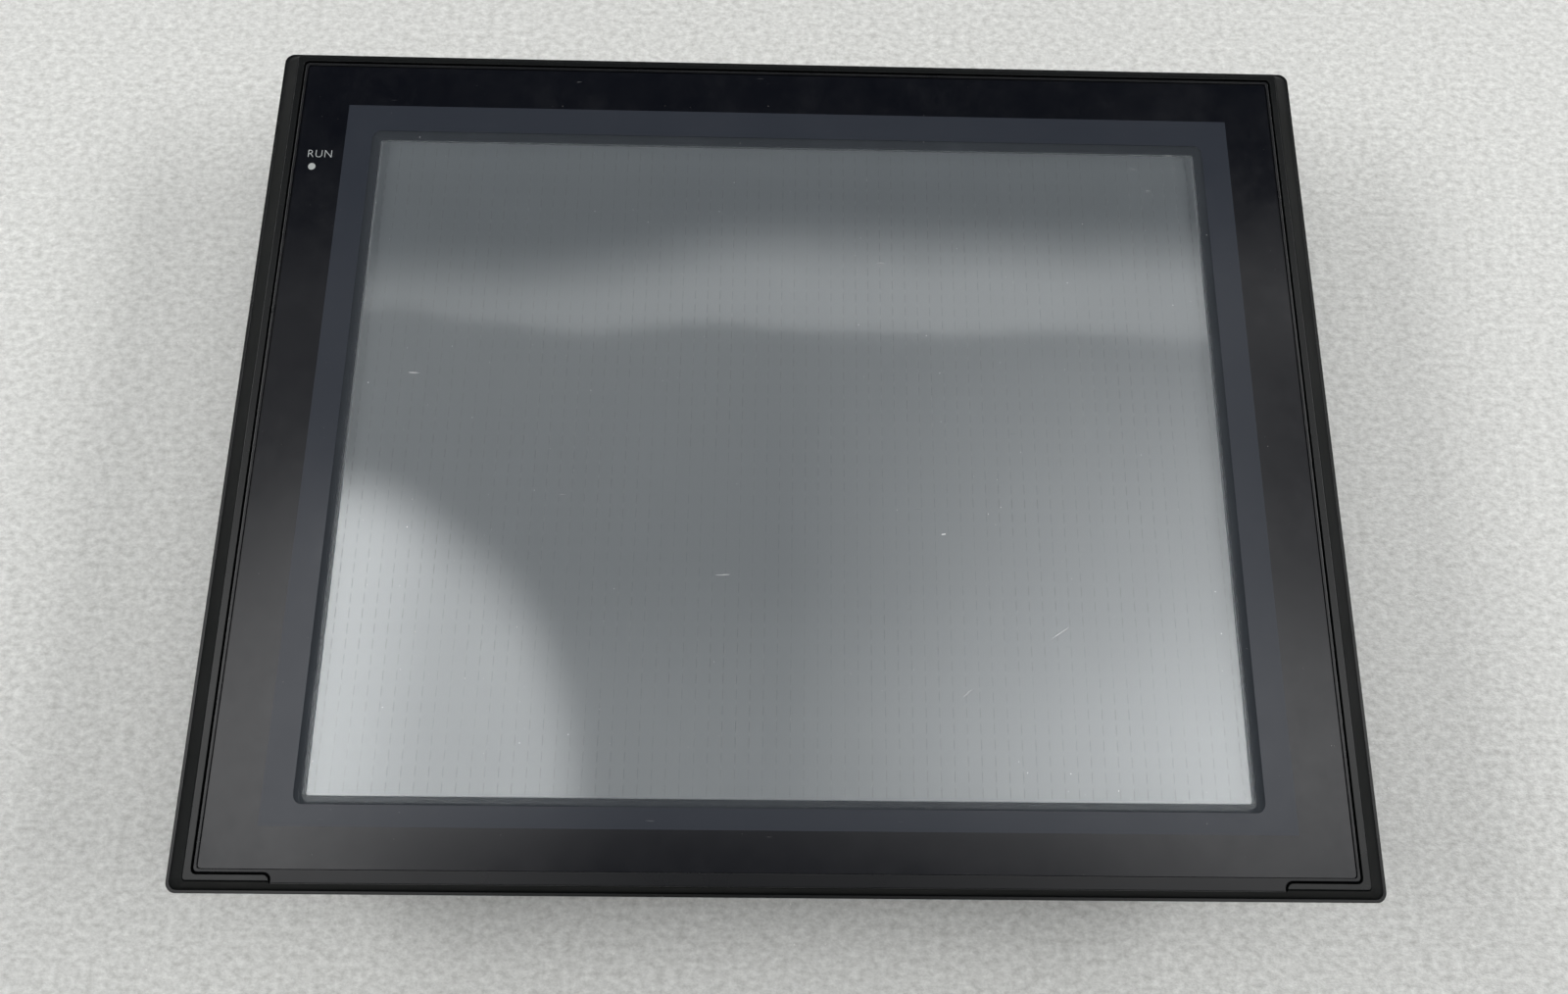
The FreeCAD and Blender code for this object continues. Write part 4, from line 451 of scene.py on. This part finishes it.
def port_shell(name, node, pins_stand):
    """Serial port: plated shell, black insulator inside the shell, gilt pins where they stand."""
    tree = fresh(name)
    port_x = middle(node).x
    port_z = middle("jackscrews").z
    shell_depth = 5.8 * MM if pins_stand else 0.6 * MM
    insulator = low(node).y + shell_depth

    def about_port(half_width, half_height):
        return tree.times(tree.within(tree.x, port_x - half_width, port_x + half_width),
                          tree.within(tree.z, port_z - half_height, port_z + half_height))

    cavity = about_port(7.95 * MM, 3.7 * MM)
    behind = tree.span(tree.y, insulator - 0.05 * MM, insulator - 0.02 * MM)
    dull = tree.mix(tree.noise(3 * MM), (0.012, 0.012, 0.013), (0.02, 0.02, 0.021))
    black = tree.surface(dull, 0.5)
    rolled = tree.noise(1.2 * MM, 4.0, 0.6, stretch=(1.0, 4.0, 1.0))
    plated = tree.surface(tree.mix(rolled, (0.55, 0.55, 0.53), (0.72, 0.72, 0.69)),
                          tree.span(rolled, 0.3, 0.7, 0.22, 0.4), Metallic=1.0)
    shader = tree.blend(tree.times(cavity, behind), plated, black)
    if pins_stand:
        gold = tree.mix(rolled, (0.83, 0.6, 0.25), (0.95, 0.74, 0.38))
        gilt = tree.surface(gold, 0.25, Metallic=1.0)
        pins = tree.times(cavity, tree.invert(behind), about_port(7.0 * MM, 2.4 * MM))
        shader = tree.blend(pins, shader, gilt)
    return tree.finish(shader)


def jack_shell(name, node, opening_half):
    """Shielded jack: plated outside, and black inside its opening."""
    tree = fresh(name)
    jack = middle(node)
    mouth = low(node).y
    skin_top = low(node).z + 0.45 * MM
    inner = tree.times(tree.within(tree.x, jack.x - opening_half, jack.x + opening_half),
                       tree.span(tree.y, mouth + 0.15 * MM, mouth + 0.4 * MM),
                       tree.span(tree.z, skin_top, skin_top + 0.1 * MM))
    rolled = tree.noise(1.2 * MM, 4.0, 0.6, stretch=(1.0, 4.0, 1.0))
    plated = tree.surface(tree.mix(rolled, (0.55, 0.55, 0.54), (0.74, 0.74, 0.72)),
                          tree.span(rolled, 0.3, 0.7, 0.2, 0.38), Metallic=1.0)
    black = tree.surface(tree.mix(rolled, (0.012, 0.012, 0.013), (0.022, 0.022, 0.023)), 0.5)
    return tree.finish(tree.blend(inner, plated, black))


def rating_foil():
    """Blank silver plate with a ruled frame and empty rows."""
    tree = fresh("rating_foil")
    first = low("rating_plate")
    last = high("rating_plate")
    brushed = tree.noise(1.0 * MM, 4.0, 0.7, stretch=(0.1, 8.0, 1.0))
    shade = tree.mix(brushed, (0.55, 0.56, 0.57), (0.68, 0.69, 0.7))
    edge = 2.5 * MM
    rule = 0.25 * MM
    row_height = (last.y - first.y - 2 * edge) / 6
    inside = tree.times(tree.within(tree.x, first.x + edge, last.x - edge),
                        tree.within(tree.y, first.y + edge, last.y - edge))
    rows = tree.within(tree.beat(tree.maths("SUBTRACT", tree.y, first.y + edge), row_height),
                       0.0, 0.05, 0.01)
    core = tree.times(tree.within(tree.x, first.x + edge + rule, last.x - edge - rule),
                      tree.within(tree.y, first.y + edge + rule, last.y - edge - rule))
    frame_line = tree.maths("SUBTRACT", inside, core)
    ink = tree.maths("MAXIMUM", frame_line, tree.times(rows, inside))
    shade = tree.mix(tree.times(ink, 0.85), shade, (0.03, 0.03, 0.035))
    gloss = tree.span(brushed, 0.3, 0.7, 0.3, 0.45)
    return tree.finish(tree.surface(shade, gloss, tree.bump(brushed, 0.005 * MM, 0.4),
                                    Metallic=tree.span(ink, 0.0, 1.0, 0.85, 0.0)))


# ---------------------------------------------------------------- meshes
def new_piece(name, data, material):
    """Object with one material that moves with the panel."""
    piece = bpy.data.objects.new(name, data)
    bpy.context.scene.collection.objects.link(piece)
    data.materials.append(material)
    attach(piece, PANEL)
    return piece


def mesh_from(shape, name):
    bmesh.ops.recalc_face_normals(shape, faces=shape.faces)
    mesh = bpy.data.meshes.new(name)
    shape.to_mesh(mesh)
    shape.free()
    return mesh


def rounded_loop(centre, width, height, radius=0.0):
    """Points of a rounded rectangle, anticlockwise."""
    steps = 6
    points = []
    for turn, (right, up) in enumerate(((1, -1), (1, 1), (-1, 1), (-1, -1))):
        hub = Vector((centre.x + right * (width / 2 - radius),
                      centre.y + up * (height / 2 - radius)))
        for step in range(steps + 1 if radius > 0 else 1):
            angle = (turn - 1 + step / steps) * math.pi / 2
            points.append(hub + radius * Vector((math.cos(angle), math.sin(angle))))
    return points


def circle_loop(centre, radius):
    """Points of a circle, anticlockwise."""
    steps = 32
    return [Vector((centre.x + radius * math.cos(2 * math.pi * step / steps),
                    centre.y + radius * math.sin(2 * math.pi * step / steps)))
            for step in range(steps)]


def plate_mesh(name, bottom, top, outer, holes=()):
    """Flat plate between two heights, with its outline and any holes given as point loops."""
    shape = bmesh.new()
    rings = []
    for level in (bottom, top):
        edges = []
        for loop in (outer, *holes):
            corners = [shape.verts.new((*point, level)) for point in loop]
            edges += [shape.edges.new(pair) for pair in zip(corners, corners[1:] + corners[:1])]
            rings.append(corners)
        bmesh.ops.triangle_fill(shape, use_beauty=True, edges=edges, normal=(0, 0, 1))
    half = len(rings) // 2
    for under, over in zip(rings[:half], rings[half:]):
        for step in range(len(under)):
            shape.faces.new((under[step - 1], under[step], over[step], over[step - 1]))
    return mesh_from(shape, name)


def strips_mesh(name, spots, size):
    """Row of small bevelled bars about the given spots."""
    shape = bmesh.new()
    for spot in spots:
        place = Matrix.Translation(spot) @ Matrix.Diagonal((*size, 1.0))
        bmesh.ops.create_cube(shape, size=1.0, matrix=place)
    bmesh.ops.bevel(shape, geom=shape.edges[:], offset=min(size) * 0.25, segments=2,
                    affect="EDGES", profile=0.5)
    return mesh_from(shape, name)


# ---------------------------------------------------------------- pieces of the overlay
def overlay():
    """The film's printed border, and inside it the touch film's dark border and clear middle,
    with a small white window over the run light."""
    size = FILM_HIGH - FILM_LOW
    centre = (FILM_HIGH + FILM_LOW) / 2
    window = rounded_loop(GLASS, WINDOW_WIDTH, WINDOW_HEIGHT)
    clear = rounded_loop(middle("lcd_glass"), CLEAR_WIDTH, CLEAR_HEIGHT, CLEAR_CORNER)
    outline = rounded_loop(centre, size.x, size.y, FILM_CORNER)
    dot = circle_loop(LAMP_SPOT, LAMP_RADIUS)
    border = plate_mesh("overlay_border", FILM_LOW.z, FILM_HIGH.z, outline, [window, dot])
    piece = new_piece("overlay_border", border, printed_film())
    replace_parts(piece, "overlay_film")
    film_back = low("touch_film").z + HAIR_GAP
    pane = plate_mesh("overlay_window", film_back, FILM_HIGH.z, clear)
    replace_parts(new_piece("overlay_window", pane, window_film()), "touch_film")
    mask = plate_mesh("window_mask", film_back, FILM_HIGH.z, window, [clear])
    new_piece("window_mask", mask, window_mask())
    lens = plate_mesh("run_light_window", FILM_LOW.z, FILM_HIGH.z, dot)
    new_piece("run_light_window", lens, laminate("lens_white", (0.36, 0.38, 0.37)))


def run_legend():
    """Generic indicator word over the run light, printed on the film."""
    cap_height = 2.6 * MM
    cap_share = 0.73
    stroke_thinning = 0.055 * MM
    data = bpy.data.curves.new("run_legend", "FONT")
    data.body = "RUN"
    data.size = cap_height / cap_share
    data.space_character = 1.08
    data.offset = -stroke_thinning
    data.extrude = 0.01 * MM
    data.align_x = "LEFT"
    tree = fresh("legend_ink")
    shade = tree.mix(tree.noise(0.4 * MM), (0.3, 0.32, 0.32), (0.42, 0.44, 0.44))
    material = tree.finish(tree.surface(shade, 0.5))
    piece = bpy.data.objects.new("run_legend", data)
    piece.location = (LAMP_SPOT.x - 1.9 * MM, LAMP_SPOT.y + 3.0 * MM, FILM_HIGH.z + HAIR_GAP)
    bpy.context.scene.collection.objects.link(piece)
    data.materials.append(material)
    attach(piece, PANEL)


# ---------------------------------------------------------------- small parts inside the ports
def network_contacts():
    """Eight sprung wires in the network jack, slanting inwards from its mouth."""
    jack = middle("ethernet_port")
    mouth = low("ethernet_port")
    count = 8
    pitch = 1.02 * MM
    data = bpy.data.curves.new("network_contacts", "CURVE")
    data.dimensions = "3D"
    data.bevel_depth = 0.2 * MM
    data.bevel_resolution = 2
    route = ((3.0, 1.95), (4.2, 1.95), (8.6, 4.4), (10.6, 4.7))
    for index in range(count):
        wire = data.splines.new("POLY")
        wire.points.add(len(route) - 1)
        x = jack.x + (index - (count - 1) / 2) * pitch
        for point, (deep, rise) in zip(wire.points, route):
            point.co = (x, mouth.y + deep * MM, mouth.z + rise * MM, 1.0)
    new_piece("network_contacts", data, metal("contact_gold_wire", (0.9, 0.68, 0.32), 0.22))


def usb_contacts():
    """Four contact strips on the tongue of the host port."""
    port = middle("usb_port")
    corner = low("usb_port")
    count = 4
    pitch = 2.3 * MM
    spots = [Vector((port.x + (index - (count - 1) / 2) * pitch,
                     corner.y + 6.0 * MM, corner.z + 3.57 * MM)) for index in range(count)]
    mesh = strips_mesh("usb_contacts", spots, Vector((1.0 * MM, 7.0 * MM, 0.12 * MM)))
    new_piece("usb_contacts", mesh, metal("contact_gold_strip", (0.9, 0.68, 0.32), 0.2))


# ---------------------------------------------------------------- finishes of the CAD nodes
def paint(material, *nodes):
    """Give CAD nodes a material in place of their own."""
    for name in nodes:
        mesh = NODES[name].data
        mesh.materials.clear()
        mesh.materials.append(material)


def paint_front():
    paint(bezel_finish(), "front_bezel")
    paint(moulded("plate_black", (0.002, 0.0024, 0.0036), 0.28, grain=0.3 * MM, depth=0.006 * MM,
                  dusty=0.03), "front_plate")
    paint(glass_sheet(), "touch_glass")
    paint(foam_tape(), "touch_gasket")
    paint(display_surround(), "lcd_frame")
    paint(display_face(), "lcd_glass")
    paint(laminate("light_lens", (0.6, 0.62, 0.62)), "run_light_pipe")
    paint(laminate("led_yellow", (0.7, 0.66, 0.45)), "run_led")


def paint_inside():
    paint(circuit_board("board_green", (0.01, 0.07, 0.035)), "main_board", "power_board",
          "inverter_board", "led_board")
    paint(laminate("white_plastic", (0.78, 0.79, 0.8)), "lcd_optical_sheets", "light_guide",
          "lcd_tray", "backlight_lamps")
    paint(metal("sheet_steel", (0.6, 0.61, 0.6), 0.36), "chassis_plate", "lcd_back_cover")
    paint(metal("screw_steel", (0.5, 0.5, 0.48), 0.3), "chassis_screws", "board_screws",
          "case_screws", "expansion_screws", "terminal_screws", "board_standoffs", "jackscrews")
    paint(metal("aluminium", (0.8, 0.81, 0.82), 0.4), "heat_sink", "coin_cell")
    paint(moulded("chip_black", (0.012, 0.012, 0.013), 0.55), "processor", "memory_chips", "buzzer",
          "power_transformer", "inverter_transformers", "battery_holder", "reset_switch",
          "card_socket")
    paint(metal("can_blue", (0.06, 0.09, 0.2), 0.45), "power_capacitors")
    paint(flat_cable(), "touch_flex", "lcd_flex")


def paint_rear():
    case = (0.0135, 0.0142, 0.0155)
    paint(moulded("case_black", case, 0.52, grain=0.5 * MM, depth=0.035 * MM), "rear_case")
    paint(moulded("cover_black", shades(case, 1.12), 0.48, grain=0.4 * MM, depth=0.025 * MM),
          "battery_cover", "expansion_cover", "card_door")
    paint(rubber("seal_black", (0.014, 0.014, 0.015)), "panel_gasket")
    paint(rating_foil(), "rating_plate")
    paint(moulded("terminal_green", (0.02, 0.16, 0.05), 0.42, worn=0.1), "terminal_block")
    paint(clear_part("clear_flap", (0.93, 0.94, 0.95)), "terminal_cover")
    paint(port_shell("port_with_pins", "serial_port_a", True), "serial_port_a")
    paint(port_shell("port_with_holes", "serial_port_b", False), "serial_port_b")
    paint(jack_shell("network_shell", "ethernet_port", 5.95 * MM), "ethernet_port")
    paint(jack_shell("host_shell", "usb_port", 6.65 * MM), "usb_port")
    paint(moulded("switch_blue", (0.02, 0.05, 0.16), 0.4, worn=0.1), "dip_switch")
    paint(moulded("switch_white", (0.72, 0.72, 0.7), 0.4, worn=0.0), "dip_slider_1", "dip_slider_2",
          "dip_slider_3", "dip_slider_4")
    paint(moulded("button_grey", (0.28, 0.28, 0.28), 0.45), "reset_button", "card_eject_button")


# ---------------------------------------------------------------- floor, lights and camera
def floor():
    """Pale packing foam with a fine grain, and glossier specks whose colour is lightened towards
    white as a painted glint.
    """
    tree = fresh("floor")
    fine = tree.noise(2.2 * MM, 4.0, 0.7, stretch=(0.75, 1.2, 1.0))
    slow = tree.noise(160 * MM, 2.0, 0.5, seed=3.0)
    shade = tree.mix(tree.span(fine, 0.3, 0.7), (0.46, 0.46, 0.44), (0.79, 0.795, 0.77))
    shade = tree.mix(tree.span(slow, 0.3, 0.7, 0.0, 0.12), shade, (0.5, 0.5, 0.5))
    painted_glints = tree.span(tree.noise(1.3 * MM, 2.0, 0.6, seed=5.0), 0.7, 0.76)
    # Painted glint: the specks' colour is lightened towards white; their lower roughness below is
    # real gloss.
    shade = tree.mix(tree.times(painted_glints, 0.6), shade, (0.95, 0.95, 0.93))
    normal = tree.bump(fine, 0.6 * MM, 0.6)
    material = tree.finish(tree.surface(shade, tree.span(painted_glints, 0.0, 1.0, 0.6, 0.25), normal))
    shape = bmesh.new()
    bmesh.ops.create_grid(shape, x_segments=1, y_segments=1, size=4.0)
    mesh = mesh_from(shape, "floor")
    mesh.materials.append(material)
    ground = bpy.data.objects.new("floor", mesh)
    below_object = 0.1 * MM
    ground.location.z = -below_object
    bpy.context.scene.collection.objects.link(ground)


# Height of the light panels over the floor, in metres, as are all places in the room below.
CEILING = 1.245


def lamp(name, spot, width, height, strength):
    """Light panel in the ceiling, facing the floor. The strength is a number, or a function that
    works it out from the place in the room. A panel of strength 1 would itself look just white."""
    data = bpy.data.lights.new(name, "AREA")
    data.shape = "RECTANGLE"
    data.size = width
    data.size_y = height
    data.energy = math.pi * width * height
    tree = Tree(data)
    if callable(strength):
        x = tree.maths("ADD", tree.times(tree.maths("SUBTRACT", tree.x, 0.5), width), spot[0])
        y = tree.maths("ADD", tree.times(tree.maths("SUBTRACT", tree.y, 0.5), height), spot[1])
        strength = strength(tree, x, y)
    tree.finish(tree.node("Emission", Strength=strength).outputs[0])
    item = bpy.data.objects.new(name, data)
    item.location = (*spot, CEILING)
    bpy.context.scene.collection.objects.link(item)
    item.visible_camera = False


def disc(tree, x, y, hub, inner, outer):
    """Round glow that fades out between two radii."""
    away = tree.node("CombineXYZ", X=tree.maths("SUBTRACT", x, hub[0]),
                     Y=tree.maths("SUBTRACT", y, hub[1])).outputs[0]
    reach = tree.node("VectorMath", {"operation": "LENGTH"}, i0=away).outputs["Value"]
    return tree.ease(reach, outer, inner)


def windows(tree, x, y):
    """Two bright windows, either side of somebody who stands at the foot of the table. The left
    one has a curved edge towards the middle; the right one brightens slowly to its lower right.
    Curtains dim both towards the sides, most near the head of the table. The plain ceiling
    shines too, most near the foot."""
    from_middle = tree.maths("ABSOLUTE", x)
    person = tree.times(tree.ease(y, -0.2, -0.28), tree.ease(from_middle, 0.75, 0.2))
    curtains = tree.times(tree.ease(from_middle, 0.58, 0.66), tree.ease(y, -0.1, 0.2, 0.2, 0.8))
    walls = tree.times(tree.ease(from_middle, 0.98, 0.82), tree.ease(y, -0.46, -0.36))
    shining = tree.times(tree.invert(person), tree.invert(curtains), walls)
    left_hub = (-0.66, -0.25)
    left = tree.times(disc(tree, x, y, left_hub, 0.38, 0.51), tree.ease(x, -0.4, -0.56, 2.35, 3.5))
    right = tree.times(tree.span(x, 0.02, 0.62, 0.0, 1.05), tree.span(y, -0.12, 0.42, 2.4, 0.3))
    ceiling = tree.times(tree.ease(y, 0.1, -0.15, 0.43, 0.8), tree.ease(y, -0.3, -0.2))
    return tree.maths("MAXIMUM", tree.times(left, shining),
                      tree.maths("ADD", tree.times(right, shining), ceiling))


def room(tree, x, y):
    """Light of the whole ceiling: windows and plain ceiling up to an edge that is a little wavy,
    and past it a brighter band that fades out into the dark."""
    edge_place = 0.413
    edge_blur = 0.006
    fade_reach = 0.06
    radians_per_metre = 19.0
    swing = tree.maths("SINE", tree.times(x, radians_per_metre))
    wave = tree.times(swing, tree.ease(x, -0.1, 0.3, -0.008, 0.003))
    lift = tree.ease(x, -0.42, -0.53, 0.0, 0.03)
    edge = tree.maths("ADD", tree.maths("ADD", wave, lift), edge_place)
    beyond = tree.span(tree.maths("SUBTRACT", y, edge), 0.0, edge_blur)
    top = tree.ease(x, -0.4, 0.05, 0.49, 0.545)
    fade = tree.ease(tree.maths("SUBTRACT", y, top), -fade_reach, fade_reach, 1.0, 0.0)
    band = tree.times(beyond, fade, tree.span(x, -0.5, 0.35, 0.95, 1.38))
    near = tree.times(windows(tree, x, y), tree.invert(beyond))
    return tree.maths("ADD", near, band)


def studio():
    """Faint daylight all round, the room's ceiling over the table, a panel on either side that
    brightens the floor, and one past the head of the table."""
    world = bpy.data.worlds.new("studio")
    world.use_nodes = True
    background = world.node_tree.nodes["Background"]
    background.inputs["Color"].default_value = (0.86, 0.93, 1.0, 1.0)
    background.inputs["Strength"].default_value = 0.05
    bpy.context.scene.world = world
    bpy.context.scene.view_settings.view_transform = "Standard"
    lamp("soft_room", (0.0, 0.09), 1.96, 1.12, room)
    lamp("side_left", (-1.8, 0.42), 1.0, 1.4, 10.2)
    lamp("side_right", (1.95, 0.42), 1.0, 1.4, 12.8)
    lamp("soft_back", (0.1, 1.75), 2.4, 0.8, 2.2)


def camera():
    """Hand-held view from just below the screen's middle, looking down at it."""
    data = bpy.data.cameras.new("camera")
    data.sensor_width = 36.0
    data.lens = 26.0
    data.shift_y = -0.081
    data.clip_start = 0.01
    item = bpy.data.objects.new("camera", data)
    turn = Matrix(((0.9997, -0.0160, -0.0166), (0.0109, 0.9625, -0.2711), (0.0203, 0.2708, 0.9624)))
    item.matrix_world = Matrix.Translation((-0.0063, -0.0687, 0.3602)) @ turn.to_4x4()
    bpy.context.scene.collection.objects.link(item)
    bpy.context.scene.camera = item


camera()
studio()
floor()
overlay()
run_legend()
network_contacts()
usb_contacts()
paint_front()
paint_inside()
paint_rear()

bpy.context.view_layer.update()
